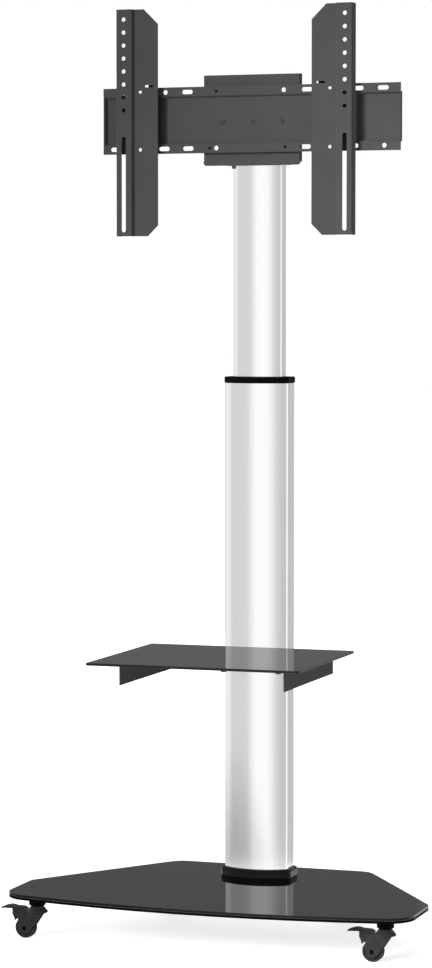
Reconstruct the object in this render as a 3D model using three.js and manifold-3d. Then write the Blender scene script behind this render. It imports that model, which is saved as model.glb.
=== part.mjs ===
// Mobile stand for a flat television: glass base on casters, telescopic column, shelf and head.
// Millimetres, +Z up, X across the stand, -Y towards the viewer. The origin lies on the floor
// under the middle of the base's width and of the depth from the shelf's front to the base's back.
import * as THREE from 'three';
import { mergeVertices } from 'three/addons/utils/BufferGeometryUtils.js';
import Module from 'manifold-3d';

const wasm = await Module();
wasm.setup();

// Fits
const fitGap = 0.3;
const slideGap = 0.5;
const cutOverrun = 5;

// Base: glass cover on a steel plate, bowed front, cut back corners
const baseWidth = 800;
const baseDepth = 490;
const baseBackWidth = 400;
const baseShoulderSetback = 52;
const baseFrontRadius = 1705;
const baseFrontCorner = 55;
const baseSideCorner = 30;
const baseBackCorner = 40;
const baseGlassThickness = 5;
const basePlateThickness = 4.5;

// Casters
const wheelRadius = 20;
const wheelWidth = 15;
const wheelChamfer = 1.5;
const wheelRecess = 2;
const wheelRimWidth = 4.5;
const axleRadius = 3;
const axleHeadRadius = 4.5;
const axleHeadThickness = 1.2;
const casterTrail = 23;
const forkHeadroom = 10;
const forkHeadHeight = 11.2;
const forkHeadRimHeight = 2.5;
const forkHeadRadius = 20;
const forkNeckRadius = 13;
const cheekThickness = 2.5;
const cheekFootRadius = 12;
const cheekFront = 13;
const bossRadius = 16;
const bossHeight = 16.4;
const bossStepRadius = 12.5;
const bossStepHeight = 3;
const stemRadius = 5;
const stemTail = 3;
const casterSideInset = 55;
const casterFrontInset = 88;
const casterBackSpread = 350;
const casterBackInset = 35;

// Brake pedal of a caster
const pedalFront = 21.5;
const pedalLength = 51.5;
const pedalHeight = 31;
const pedalDrop = 19;
const pedalWall = 1.7;
const pedalWheelGap = 0.7;
const pedalPivotBack = 13;
const pedalPivotDrop = 4;
const pedalPivotRadius = 2;
const pedalEyeRadius = 3.5;
const brakeShoeBack = 12.5;
const brakeShoeLength = 5;
const brakeGap = 5.5;

// Column: two aluminium tubes with flat sides and bowed front and back
const columnInset = 92;
const lowerTube = { width: 128, depth: 88, bow: 22, corner: 6, wall: 3 };
const upperTube = { width: 98, depth: 62, bow: 16, corner: 5, wall: 2.8 };
const lowerTubeLength = 965.2;
const upperTubeLength = 766.7;
const mastRise = 543.5;
const skirtThickness = 7.5;
const skirtTaper = 1;
const skirtHeight = 15.7;
const collarLip = 1.8;
const collarHeight = 12.2;
const collarSpigot = 50;
const glideHeight = 40;
const glideLip = 5;
const capThickness = 3;
const capPlugDepth = 15;
const capPlugWall = 4;

// Foot block under the column
const footLip = 4;
const footPlugHeight = 59;
const footFloor = 9;
const footBossWall = 6;
const footBoltXShare = 0.69;
const footBoltYShare = 0.38;
const footPocketDepthShare = 0.55;
const footBoltRadius = 4;
const footBoltGrip = 30;
const footBoltHeadRadius = 7;
const footBoltHeadHeight = 4.9;

// Height lock at the back of the column
const lockDrop = 86.5;
const lockShoeWidth = 30;
const lockShoeHeight = 30;
const lockShoeThickness = 5;
const lockShoeSocket = 1.7;
const lockStudRadius = 4;
const lockBushRadius = 7;
const lockBushFlangeRadius = 13;
const lockBushFlangeThickness = 5.7;
const lockKnobRadius = 19;
const lockKnobLobe = 2;
const lockKnobLobes = 5;
const lockKnobHubRadius = 10;
const lockKnobHubLength = 3;
const lockKnobThickness = 17;
const lockTravelRoom = 1;

// Head: cast socket, folded plate and pressed rail
const socketHeight = 119.7;
const socketWall = 4;
const socketSideWall = 7;
const socketPadDepth = 13.9;
const socketEarWidth = 136;
const socketEarDrop = 10;
const socketEarHeight = 60;
const headSheet = 3;
const headPlateWidth = 196;
const headPlateHeight = 174;
const headPlateCorner = 6;
const headPlateReturn = 10;
const headPlateFootWidth = 110;
const railSheet = 2.5;
const railLength = 601;
const railHeight = 128;
const railFlangeHeight = 19;
const railRecess = 9;
const railLift = 24;
const railBoltSpacing = 59.6;
const railBoltLift = 60.5;
const railBoltRadius = 3;
const railBoltLength = 20;
const railBoltHeadRadius = 6;
const railBoltHeadHeight = 5;
const socketScrewX = -39;
const socketScrewRadius = 2.5;
const socketScrewLength = 23;
const socketScrewHeadRadius = 4.2;
const socketScrewHeadHeight = 5.5;

// Holes in the rail's flanges, their places as shares of its half length
const railSlotLength = 22;
const railSlotWidth = 8.6;
const railRoundRadius = 4.6;
const railPilotRadius = 3;
const railTopSlotShares = [-0.875, -0.74, -0.423, 0.383, 0.54, 0.72, 0.885];
const railTopRoundShares = [-0.573, 0.227];
const railTopPilotShares = [-0.227];
const railBottomSlotShares = [-0.913, -0.74, -0.58, -0.417, 0.372, 0.54, 0.687];
const railBottomRoundShares = [-0.227, 0.893];
const railBottomPilotShares = [-0.27, 0.236];
const sightHoleRadius = 6;
const sightHoleTopX = 63;
const sightHoleBottomX = -71.5;

// Arms that hang on the rail
const armSheet = 2.5;
const armHeight = 438;
const armDepth = 23.5;
const armPlateWidth = 50.2;
const armStripWidth = 32.8;
const armStep = 8;
const armTopChamfer = 29;
const armBottomChamfer = 21;
const armRise = 150.5;
const armLeftInner = 182.3;
const armRightInner = 129.2;
const armHoleInset = 15.35;
const armHoleRadius = 4.25;
const armHoleTop = 19.5;
const armHolePitch = 25;
const armHoleCount = 8;
const armSlotWidth = 9;
const armSlotBottom = 7.5;
const armSlotLength = 185.4;
const armPlateHoleFromInner = 36.2;
const armPlateHoleRadius = 3.5;
const armPlateHoleUpper = 119.5;
const armPlateHoleLower = 7.7;
const armHookSlotFromInner = 9;
const armHookSlotLength = 18;
const armHookSlotHeight = 4.5;

// Hanger behind each arm
const hangerWidth = 45;
const hangerHookFromInner = 9.5;
const hangerHookWidth = 14;
const hangerHookDrop = 9;
const hangerHookThickness = 5.5;
const hangerFootDepth = 10;
const hangerFootThickness = 6.5;
const hangerScrewRadius = 2.5;
const hangerScrewLength = 20;
const hangerScrewHeadRadius = 5;
const hangerScrewHeadHeight = 6;

// Shelf
const shelfTop = 544;
const shelfWidth = 416;
const shelfDepth = 361;
const shelfGlassThickness = 5;
const shelfCorner = 6;
const shelfBackGap = 4;
const shelfSheet = 2.5;
const bracketInset = 45.5;
const bracketSetback = 59;
const bracketOverhang = 8;
const bracketHeight = 41.7;
const bracketFlange = 15;
const crossBarDepth = 20;
const crossBarLift = 3;
const crossBarClearance = 3;
const saddleInset = 2;
const strapMargin = 1.2;
const strapEarWidth = 25;
const clampBoltFromStrap = 13;
const clampBoltRadius = 3;
const clampBoltHeadRadius = 6;
const clampBoltHeadHeight = 5;
const saddleScrewSpacing = 112;
const saddleScrewRadius = 2.5;
const saddleScrewLength = 16;
const saddleScrewHeadRadius = 6;
const saddleScrewHeadHeight = 6.2;
const saddleScrewSetback = 12;

// Fineness of round shapes, in steps
const bowSteps = 12;
const cornerSteps = 2;
const baseFrontSteps = 12;
const holeSteps = 12;
const rodSteps = 16;
const wheelSteps = 20;
const knobSteps = 30;
const hexagonSteps = 6;

// Heights that follow from the pieces stacked on the floor
const axleHeight = wheelRadius;
const forkHeadBottom = 2 * wheelRadius + forkHeadroom;
const forkHeadTop = forkHeadBottom + forkHeadHeight;
const bossBottom = forkHeadTop + fitGap;
const bossTop = bossBottom + bossStepHeight + bossHeight;
const basePlateBottom = bossTop + fitGap;
const basePlateTop = basePlateBottom + basePlateThickness;
const baseGlassBottom = basePlateTop + fitGap;
const baseGlassTop = baseGlassBottom + baseGlassThickness;
const lowerTubeBottom = baseGlassTop + fitGap;
const lowerTubeTop = lowerTubeBottom + lowerTubeLength;
const upperTubeTop = lowerTubeTop + mastRise;
const upperTubeBottom = upperTubeTop - upperTubeLength;
const socketBottom = upperTubeTop - socketHeight;
const headPlateBottom = socketBottom - fitGap - headSheet;
const headPlateTop = headPlateBottom + headPlateHeight;
const railBottom = headPlateBottom + railLift;
const railTop = railBottom + railHeight;
const recessBottom = railBottom + railFlangeHeight;
const recessTop = railTop - railFlangeHeight;
const armTop = railTop + armRise;
const armBottom = armTop - armHeight;

// Depths that follow from the base's back and the pieces in front of the column
const columnSetback = baseDepth / 2 - columnInset;
const socketFront = columnSetback - upperTube.depth / 2 - socketWall - socketPadDepth;
const headPlateFront = socketFront - fitGap - headSheet;
const railBack = headPlateFront - fitGap;
const railPanelFront = railBack - railSheet;
const railFront = railPanelFront - railRecess;
const armBack = railFront - slideGap;
const armStripFront = armBack - armDepth;
const armPlateFront = armStripFront + armStep;
const armPlateBack = armPlateFront + armSheet;
const lowerTubeFront = columnSetback - lowerTube.depth / 2;
const shelfBack = lowerTubeFront - shelfBackGap;
const shelfFront = shelfBack - shelfDepth;
const shelfGlassBottom = shelfTop - shelfGlassThickness;
const bracketTop = shelfGlassBottom - fitGap;
const bracketBottom = bracketTop - bracketHeight;

const finishes = {
  blackGlass: { color: 0x1c1c1e, roughness: 0.08, metalness: 0 },
  blackSteel: { color: 0x2b2b2d, roughness: 0.55, metalness: 0.2 },
  darkSteel: { color: 0x17181a, roughness: 0.4, metalness: 0.6 },
  aluminium: { color: 0xd4d6d8, roughness: 0.35, metalness: 0.9 },
  paintedCasting: { color: 0x4a4c4e, roughness: 0.6, metalness: 0.6 },
  glossPlastic: { color: 0x0c0c0d, roughness: 0.15, metalness: 0 },
  mattePlastic: { color: 0x161617, roughness: 0.6, metalness: 0 },
  casterPlastic: { color: 0x2a2a2b, roughness: 0.45, metalness: 0 },
  tyre: { color: 0x1e1e1f, roughness: 0.7, metalness: 0 },
};

// Points along an arc, both ends included
function arc(centreX, centreY, radius, from, to, steps) {
  const points = [];
  for (let i = 0; i <= steps; i += 1) {
    const turn = from + ((to - from) * i) / steps;
    points.push(new THREE.Vector2(centreX + radius * Math.cos(turn), centreY + radius * Math.sin(turn)));
  }
  return points;
}

function circle(centreX, centreY, radius, steps = holeSteps) {
  return arc(centreX, centreY, radius, 0, 2 * Math.PI, steps).slice(1);
}

// Rounds one corner of an outline, between the points before and after it
function fillet(before, corner, after, radius) {
  const back = before.clone().sub(corner).normalize();
  const ahead = after.clone().sub(corner).normalize();
  const halfAngle = Math.acos(back.dot(ahead)) / 2;
  const centre = back.clone().add(ahead).setLength(radius / Math.sin(halfAngle)).add(corner);
  const start = back.multiplyScalar(radius / Math.tan(halfAngle)).add(corner).sub(centre).angle();
  const end = ahead.multiplyScalar(radius / Math.tan(halfAngle)).add(corner).sub(centre).angle();
  const turn = Math.atan2(Math.sin(end - start), Math.cos(end - start));
  return arc(centre.x, centre.y, radius, start, start + turn, cornerSteps);
}

// Outline through [x, y, corner radius] corners, a missing radius leaving the corner sharp
function outlineOf(corners) {
  const points = corners.map(([x, y]) => new THREE.Vector2(x, y));
  return corners.flatMap((corner, i) => {
    const radius = corner[2] ?? 0;
    const before = points[(i + points.length - 1) % points.length];
    const after = points[(i + 1) % points.length];
    return radius > 0 ? fillet(before, points[i], after, radius) : [points[i]];
  });
}

function rectangle(left, right, low, high, corner = 0) {
  return outlineOf([[left, low, corner], [right, low, corner], [right, high, corner], [left, high, corner]]);
}

// Slot with round ends, lying along the outline's first or second direction
function slotOutline(centreX, centreY, length, width, upright = false) {
  const radius = width / 2;
  const reach = length / 2 - radius;
  const turn = upright ? Math.PI / 2 : 0;
  const half = holeSteps / 2;
  const endX = reach * Math.cos(turn);
  const endY = reach * Math.sin(turn);
  return [
    ...arc(centreX + endX, centreY + endY, radius, turn - Math.PI / 2, turn + Math.PI / 2, half),
    ...arc(centreX - endX, centreY - endY, radius, turn + Math.PI / 2, turn + Math.PI * 1.5, half),
  ];
}

// Column section about the column's axis, moved out (or in) by an even offset
function barrel(tube, offset = 0) {
  const halfWidth = tube.width / 2;
  const bowRadius = (halfWidth ** 2 + tube.bow ** 2) / (2 * tube.bow);
  const bowCentre = tube.depth / 2 - bowRadius;
  const corner = Math.max(tube.corner + offset, 0);
  const cornerX = halfWidth + offset - corner;
  const cornerY = bowCentre + Math.sqrt((bowRadius + offset - corner) ** 2 - cornerX ** 2);
  const turn = Math.atan2(cornerY - bowCentre, cornerX);
  const half = [
    ...arc(cornerX, cornerY, corner, 0, turn, cornerSteps),
    ...arc(0, bowCentre, bowRadius + offset, turn, Math.PI - turn, bowSteps),
    ...arc(-cornerX, cornerY, corner, Math.PI - turn, Math.PI, cornerSteps),
  ];
  const ring = [...half, ...half.map((point) => point.clone().negate())];
  return ring.map((point) => point.add(new THREE.Vector2(0, columnSetback)));
}

// Shape with holes from outlines, points that repeat left out
function shapeOf(outline, holes = []) {
  const [shape, ...cutouts] = [outline, ...holes].map((points) => {
    const distinct = points.filter((point, i) => {
      const before = points[(i + points.length - 1) % points.length];
      return point.distanceToSquared(before) > Number.EPSILON;
    });
    return new THREE.Shape(distinct);
  });
  shape.holes = cutouts;
  return shape;
}

function extruded(outline, holes, depth) {
  const settings = { depth, bevelEnabled: false, curveSegments: 1 };
  return new THREE.ExtrudeGeometry(shapeOf(outline, holes), settings);
}

// Solid from a closed geometry, its vertices joined and its flat slivers left out
function solid(geometry) {
  const bare = geometry.clone();
  bare.deleteAttribute('normal');
  bare.deleteAttribute('uv');
  const joined = mergeVertices(bare);
  const corners = joined.index.array;
  const kept = [];
  for (let i = 0; i < corners.length; i += 3) {
    const [a, b, c] = corners.slice(i, i + 3);
    if (a !== b && b !== c && c !== a) {
      kept.push(a, b, c);
    }
  }
  const mesh = new wasm.Mesh({
    numProp: 3,
    vertProperties: new Float32Array(joined.attributes.position.array),
    triVerts: new Uint32Array(kept),
  });
  return new wasm.Manifold(mesh);
}

// Prisms along the three axes: an (x, y) outline along Z, (x, z) along Y, (y, z) along X
function alongZ(outline, low, high, holes = []) {
  return solid(extruded(outline, holes, high - low).translate(0, 0, low));
}

function alongY(outline, front, back, holes = []) {
  return solid(extruded(outline, holes, back - front).rotateX(Math.PI / 2).translate(0, back, 0));
}

function alongX(outline, left, right) {
  const turned = new THREE.Matrix4().makeBasis(
    new THREE.Vector3(0, 1, 0),
    new THREE.Vector3(0, 0, 1),
    new THREE.Vector3(1, 0, 0),
  );
  return solid(extruded(outline, [], right - left).applyMatrix4(turned).translate(left, 0, 0));
}

function block(left, right, front, back, low, high) {
  const box = new THREE.BoxGeometry(right - left, back - front, high - low);
  return solid(box.translate((left + right) / 2, (front + back) / 2, (low + high) / 2));
}

function rodZ(x, y, radius, low, high, steps = rodSteps) {
  const rod = new THREE.CylinderGeometry(radius, radius, high - low, steps);
  return solid(rod.rotateX(Math.PI / 2).translate(x, y, (low + high) / 2));
}

function rodY(x, z, radius, front, back, steps = rodSteps) {
  const rod = new THREE.CylinderGeometry(radius, radius, back - front, steps);
  return solid(rod.translate(x, (front + back) / 2, z));
}

// Turned piece about the Y axis from a [radius, y] profile that closes on itself or on the axis
function turnedY(profile, steps = rodSteps, start = 0) {
  const points = profile.map(([radius, height]) => new THREE.Vector2(radius, height));
  const ring = THREE.ShapeUtils.isClockWise(points) ? points.reverse() : points;
  return solid(new THREE.LatheGeometry([...ring, ring[0]], steps, start));
}

function turnedZ(profile, steps = rodSteps) {
  return turnedY(profile, steps).rotate([90, 0, 0]);
}

function union(...solids) {
  return solids.reduce((whole, piece) => whole.add(piece));
}

function cut(body, ...tools) {
  return tools.reduce((rest, tool) => rest.subtract(tool), body);
}

function geometryOf(body) {
  const mesh = body.getMesh();
  const geometry = new THREE.BufferGeometry();
  geometry.setAttribute('position', new THREE.BufferAttribute(new Float32Array(mesh.vertProperties), 3));
  geometry.setIndex(new THREE.BufferAttribute(new Uint32Array(mesh.triVerts), 1));
  geometry.computeVertexNormals();
  return geometry;
}

function addPiece(group, name, body, finish) {
  const mesh = new THREE.Mesh(geometryOf(body), new THREE.MeshStandardMaterial(finishes[finish]));
  mesh.name = name;
  group.add(mesh);
}

// Base

function casterPlaces() {
  const frontX = baseWidth / 2 - casterSideInset;
  const frontY = -baseDepth / 2 + casterFrontInset;
  const backX = casterBackSpread / 2;
  const backY = baseDepth / 2 - casterBackInset;
  return [
    { name: 'front_left', x: -frontX, y: frontY },
    { name: 'front_right', x: frontX, y: frontY },
    { name: 'back_left', x: -backX, y: backY },
    { name: 'back_right', x: backX, y: backY },
  ];
}

function footBoltPlaces() {
  const x = (footBoltXShare * lowerTube.width) / 2;
  const y = (footBoltYShare * lowerTube.depth) / 2;
  return [
    { name: 'front_left', x: -x, y: columnSetback - y },
    { name: 'front_right', x, y: columnSetback - y },
    { name: 'back_left', x: -x, y: columnSetback + y },
    { name: 'back_right', x, y: columnSetback + y },
  ];
}

// Base outline, the same for glass and steel: the bowed front's arc runs into round corners
function baseOutline() {
  const halfWidth = baseWidth / 2;
  const back = baseDepth / 2;
  const frontCentre = baseFrontRadius - back;
  const cornerX = halfWidth - baseFrontCorner;
  const cornerY = frontCentre - Math.sqrt((baseFrontRadius - baseFrontCorner) ** 2 - cornerX ** 2);
  const turn = Math.atan2(cornerY - frontCentre, cornerX);
  const [sideRight, shoulderRight, backRight, backLeft, shoulderLeft, sideLeft] = [
    [halfWidth, cornerY],
    [halfWidth, -baseShoulderSetback],
    [baseBackWidth / 2, back],
    [-baseBackWidth / 2, back],
    [-halfWidth, -baseShoulderSetback],
    [-halfWidth, cornerY],
  ].map(([x, y]) => new THREE.Vector2(x, y));
  return [
    ...arc(0, frontCentre, baseFrontRadius, -Math.PI - turn, turn, baseFrontSteps),
    ...arc(cornerX, cornerY, baseFrontCorner, turn, 0, 2 * cornerSteps),
    ...fillet(sideRight, shoulderRight, backRight, baseSideCorner),
    ...fillet(shoulderRight, backRight, backLeft, baseBackCorner),
    ...fillet(backRight, backLeft, shoulderLeft, baseBackCorner),
    ...fillet(backLeft, shoulderLeft, sideLeft, baseSideCorner),
    ...arc(-cornerX, cornerY, baseFrontCorner, Math.PI, Math.PI - turn, 2 * cornerSteps),
  ];
}

function baseGlass() {
  const window = barrel(lowerTube, footLip + fitGap);
  return alongZ(baseOutline(), baseGlassBottom, baseGlassTop, [window]);
}

function basePlate() {
  const stemHoles = casterPlaces().map(({ x, y }) => circle(x, y, stemRadius + fitGap));
  const boltHoles = footBoltPlaces().map(({ x, y }) => circle(x, y, footBoltRadius + fitGap));
  return alongZ(baseOutline(), basePlateBottom, basePlateTop, [...stemHoles, ...boltHoles]);
}

// Foot block: a flange in the glass's window, and a hollow plug up into the lower tube
function columnFoot() {
  const plugTop = baseGlassTop + footPlugHeight;
  const flange = alongZ(barrel(lowerTube, footLip), baseGlassBottom, baseGlassTop);
  const plug = alongZ(barrel(lowerTube, -lowerTube.wall - fitGap), baseGlassBottom, plugTop);
  const [bolt] = footBoltPlaces().slice(-1);
  const pocketX = bolt.x - footBoltRadius - footBossWall;
  const pocketY = (footPocketDepthShare * lowerTube.depth) / 2;
  const pocket = block(
    -pocketX, pocketX,
    columnSetback - pocketY, columnSetback + pocketY,
    baseGlassBottom + footFloor, plugTop + cutOverrun,
  );
  const holeTop = basePlateBottom + footBoltGrip + footBoltRadius;
  const holes = footBoltPlaces().map(({ x, y }) => (
    rodZ(x, y, footBoltRadius + fitGap, basePlateBottom, holeTop, holeSteps)
  ));
  return cut(union(flange, plug), pocket, ...holes);
}

function footBolt({ x, y }) {
  const headTop = basePlateBottom - fitGap;
  const head = rodZ(x, y, footBoltHeadRadius, headTop - footBoltHeadHeight, headTop, hexagonSteps);
  const shankBottom = headTop - footBoltHeadHeight / 2;
  const shank = rodZ(x, y, footBoltRadius, shankBottom, headTop + footBoltGrip, holeSteps);
  return union(head, shank);
}

// Skirt round the column's foot, drawn in a little towards its top
function footSkirt() {
  const bottom = baseGlassTop + fitGap;
  const top = bottom + skirtHeight;
  const outer = barrel(lowerTube, skirtThickness);
  const body = alongZ(outer, bottom, top);
  const geometry = geometryOf(body);
  const positions = geometry.attributes.position;
  const reachX = lowerTube.width / 2 + skirtThickness;
  const reachY = lowerTube.depth / 2 + skirtThickness;
  for (let i = 0; i < positions.count; i += 1) {
    const drawn = (skirtTaper * (positions.getZ(i) - bottom)) / skirtHeight;
    const fromMiddle = positions.getX(i);
    const fromAxis = positions.getY(i) - columnSetback;
    positions.setX(i, fromMiddle - (drawn * fromMiddle) / reachX);
    positions.setY(i, columnSetback + fromAxis - (drawn * fromAxis) / reachY);
  }
  const bore = alongZ(barrel(lowerTube, fitGap), bottom - cutOverrun, top + cutOverrun);
  return cut(solid(geometry), bore);
}

// Column

const lockHeight = lowerTubeTop - lockDrop;
const lowerTubeBack = columnSetback + lowerTube.depth / 2;
const upperTubeBack = columnSetback + upperTube.depth / 2;

function lowerTubeBody() {
  const bore = barrel(lowerTube, -lowerTube.wall);
  const tube = alongZ(barrel(lowerTube), lowerTubeBottom, lowerTubeTop, [bore]);
  const lockHole = rodY(0, lockHeight, lockBushRadius + fitGap, columnSetback, lowerTubeBack + cutOverrun);
  return cut(tube, lockHole);
}

// Collar with a spigot that guides the upper tube inside the lower one
function columnCollar() {
  const bottom = lowerTubeTop + fitGap;
  const bore = barrel(upperTube, slideGap);
  const rim = alongZ(barrel(lowerTube, collarLip), bottom, bottom + collarHeight);
  const spigotOutline = barrel(lowerTube, -lowerTube.wall - fitGap);
  const spigot = alongZ(spigotOutline, bottom - collarSpigot, bottom + collarHeight / 2);
  return cut(
    union(rim, spigot),
    alongZ(bore, bottom - collarSpigot - cutOverrun, bottom + collarHeight + cutOverrun),
  );
}

function upperTubeBody() {
  const bore = barrel(upperTube, -upperTube.wall);
  return alongZ(barrel(upperTube), upperTubeBottom, upperTubeTop, [bore]);
}

// Glide round the upper tube's lower end, with a lip under the tube
function mastGlide() {
  const bottom = upperTubeBottom - fitGap - glideLip;
  const outer = alongZ(barrel(lowerTube, -lowerTube.wall - slideGap), bottom, bottom + glideHeight);
  const seatTop = bottom + glideHeight + cutOverrun;
  const seat = alongZ(barrel(upperTube, fitGap), upperTubeBottom - fitGap, seatTop);
  const mouth = alongZ(barrel(upperTube, -upperTube.wall - glideLip), bottom - cutOverrun, upperTubeTop);
  return cut(outer, seat, mouth);
}

// Cap on the upper tube's top end, its plug hollow from below
function mastCap() {
  const bottom = upperTubeTop + fitGap;
  const lid = alongZ(barrel(upperTube), bottom, bottom + capThickness);
  const plugBottom = bottom - capPlugDepth;
  const plug = alongZ(barrel(upperTube, -upperTube.wall - fitGap), plugBottom, bottom + capThickness / 2);
  const hollow = barrel(upperTube, -upperTube.wall - fitGap - capPlugWall);
  return cut(union(lid, plug), alongZ(hollow, plugBottom - cutOverrun, bottom));
}

// Height lock: the knob's stud runs through the bush and backs the shoe off the upper tube

const lockShoeBack = upperTubeBack + fitGap + lockShoeThickness;
const lockStudTip = lockShoeBack - lockShoeSocket;
const lockBushBack = lowerTubeBack + fitGap + lockBushFlangeThickness;

function lockShoe() {
  const half = lockShoeHeight / 2;
  const body = block(
    -lockShoeWidth / 2, lockShoeWidth / 2,
    columnSetback, lockShoeBack,
    lockHeight - half, lockHeight + half,
  );
  const tube = alongZ(barrel(upperTube, fitGap), lockHeight - lockShoeHeight, lockHeight + lockShoeHeight);
  const socketEnd = lockShoeBack + cutOverrun;
  const socket = rodY(0, lockHeight, lockStudRadius + fitGap, lockStudTip - fitGap, socketEnd);
  return cut(body, tube, socket);
}

function lockBush() {
  const reach = 2 * lockBushFlangeRadius;
  const flange = rodY(0, lockHeight, lockBushFlangeRadius, columnSetback, lockBushBack);
  const tube = alongZ(barrel(lowerTube, fitGap), lockHeight - reach, lockHeight + reach);
  const barrelFront = lowerTubeBack - lowerTube.wall;
  const sleeve = rodY(0, lockHeight, lockBushRadius, barrelFront, lockBushBack - fitGap);
  const bore = rodY(0, lockHeight, lockStudRadius + fitGap, columnSetback, lockBushBack + cutOverrun);
  return cut(union(cut(flange, tube), sleeve), bore);
}

function lockKnob() {
  const hubFront = lockBushBack + lockTravelRoom;
  const gripFront = hubFront + lockKnobHubLength;
  const gripBack = gripFront + lockKnobThickness;
  const star = [];
  for (let i = 0; i < knobSteps; i += 1) {
    const turn = (2 * Math.PI * i) / knobSteps;
    const radius = lockKnobRadius + lockKnobLobe * Math.cos(lockKnobLobes * turn);
    star.push(new THREE.Vector2(radius * Math.sin(turn), lockHeight + radius * Math.cos(turn)));
  }
  return union(
    rodY(0, lockHeight, lockStudRadius, lockStudTip, gripFront + fitGap, holeSteps),
    rodY(0, lockHeight, lockKnobHubRadius, hubFront, gripFront + fitGap),
    alongY(star, gripFront, gripBack),
  );
}

// Head

const railBoltHeight = railBottom + railBoltLift;
const railBoltXs = [-railBoltSpacing, 0, railBoltSpacing];
const railBoltNames = ['left', 'middle', 'right'];
const socketScrewY = socketFront + socketPadDepth / 2;

// Socket round the upper tube's end, with a pad and two ears in front for the plate's bolts
function headSocket() {
  const halfWidth = upperTube.width / 2 + socketSideWall;
  const back = columnSetback + upperTube.depth / 2 + socketWall;
  const earTop = upperTubeTop - socketEarDrop;
  const earBack = socketFront + socketPadDepth;
  const halfEar = socketEarWidth / 2;
  const sleeve = block(-halfWidth, halfWidth, socketFront, back, socketBottom, upperTubeTop);
  const ears = block(-halfEar, halfEar, socketFront, earBack, earTop - socketEarHeight, earTop);
  const bore = alongZ(barrel(upperTube, fitGap), socketBottom - cutOverrun, upperTubeTop + cutOverrun);
  const boltEnd = railPanelFront + railBoltLength;
  const boltHoles = railBoltXs.map((x) => (
    rodY(x, railBoltHeight, railBoltRadius + fitGap, socketFront - cutOverrun, boltEnd, holeSteps)
  ));
  const screwTop = headPlateBottom + socketScrewLength;
  const screwRadius = socketScrewRadius + fitGap;
  const screwHole = rodZ(
    socketScrewX, socketScrewY, screwRadius,
    socketBottom - cutOverrun, screwTop, holeSteps,
  );
  return cut(union(sleeve, ears), bore, ...boltHoles, screwHole);
}

// Plate on the socket: returns along both sides, and a foot under the socket's pad
function headPlate() {
  const half = headPlateWidth / 2;
  const back = headPlateFront + headSheet;
  const face = outlineOf([
    [-half, headPlateBottom, headPlateCorner],
    [half, headPlateBottom, headPlateCorner],
    [half, headPlateTop],
    [-half, headPlateTop],
  ]);
  const boltHoles = railBoltXs.map((x) => circle(x, railBoltHeight, railBoltRadius + fitGap));
  const sightHoles = [
    circle(sightHoleTopX, railTop - railFlangeHeight / 2, sightHoleRadius),
    circle(sightHoleBottomX, railBottom + railFlangeHeight / 2, sightHoleRadius),
  ];
  const plate = alongY(face, headPlateFront, back, [...boltHoles, ...sightHoles]);
  const returns = [-1, 1].map((side) => {
    const edges = [side * half, side * (half - headSheet)].sort((a, b) => a - b);
    const low = headPlateBottom + headPlateCorner;
    return block(edges[0], edges[1], headPlateFront, back + headPlateReturn, low, headPlateTop);
  });
  const foot = block(
    -headPlateFootWidth / 2, headPlateFootWidth / 2,
    headPlateFront, back + socketPadDepth,
    headPlateBottom, headPlateBottom + headSheet,
  );
  const screwRadius = socketScrewRadius + fitGap;
  const screwHole = rodZ(
    socketScrewX, socketScrewY, screwRadius,
    headPlateBottom - cutOverrun, headPlateBottom + headSheet + cutOverrun, holeSteps,
  );
  return cut(union(plate, ...returns, foot), screwHole);
}

// Rail: hat section along X, its recess closed at both ends, holes in both flanges
function rail() {
  const half = railLength / 2;
  const flangeBack = railFront + railSheet;
  const section = [
    [railFront, railTop],
    [railFront, recessTop],
    [railPanelFront, recessTop],
    [railPanelFront, recessBottom],
    [railFront, recessBottom],
    [railFront, railBottom],
    [flangeBack, railBottom],
    [flangeBack, recessBottom - railSheet],
    [railBack, recessBottom - railSheet],
    [railBack, recessTop + railSheet],
    [flangeBack, recessTop + railSheet],
    [flangeBack, railTop],
  ].map(([y, z]) => new THREE.Vector2(y, z));
  const low = recessBottom - railSheet;
  const high = recessTop + railSheet;
  const ends = [
    block(-half, -half + railSheet, railFront, railBack, low, high),
    block(half - railSheet, half, railFront, railBack, low, high),
  ];
  const rows = [
    { z: railTop - railFlangeHeight / 2, slots: railTopSlotShares, rounds: railTopRoundShares,
      pilots: railTopPilotShares },
    { z: railBottom + railFlangeHeight / 2, slots: railBottomSlotShares, rounds: railBottomRoundShares,
      pilots: railBottomPilotShares },
  ];
  const flangeHoles = rows.flatMap(({ z, slots, rounds, pilots }) => [
    ...slots.map((share) => slotOutline(share * half, z, railSlotLength, railSlotWidth)),
    ...rounds.map((share) => circle(share * half, z, railRoundRadius)),
    ...pilots.map((share) => circle(share * half, z, railPilotRadius)),
  ]);
  const cutters = flangeHoles.map((hole) => alongY(hole, railFront - cutOverrun, flangeBack + cutOverrun));
  const boltHoles = railBoltXs.map((x) => rodY(
    x, railBoltHeight, railBoltRadius + fitGap,
    railPanelFront - cutOverrun, railBack + cutOverrun, holeSteps,
  ));
  return cut(union(alongX(section, -half, half), ...ends), ...cutters, ...boltHoles);
}

// Domed bolt through rail and plate into the socket
function railBolt(x) {
  const seat = railPanelFront - fitGap;
  const dome = arc(0, 0, 1, 0, Math.PI / 2, cornerSteps).map((point) => (
    [railBoltHeadRadius * point.x, seat - railBoltHeadHeight * point.y]
  ));
  const tip = seat + railBoltLength;
  const profile = [...dome, [0, tip], [railBoltRadius, tip], [railBoltRadius, seat]];
  return turnedY(profile).translate([x, 0, railBoltHeight]);
}

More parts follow.
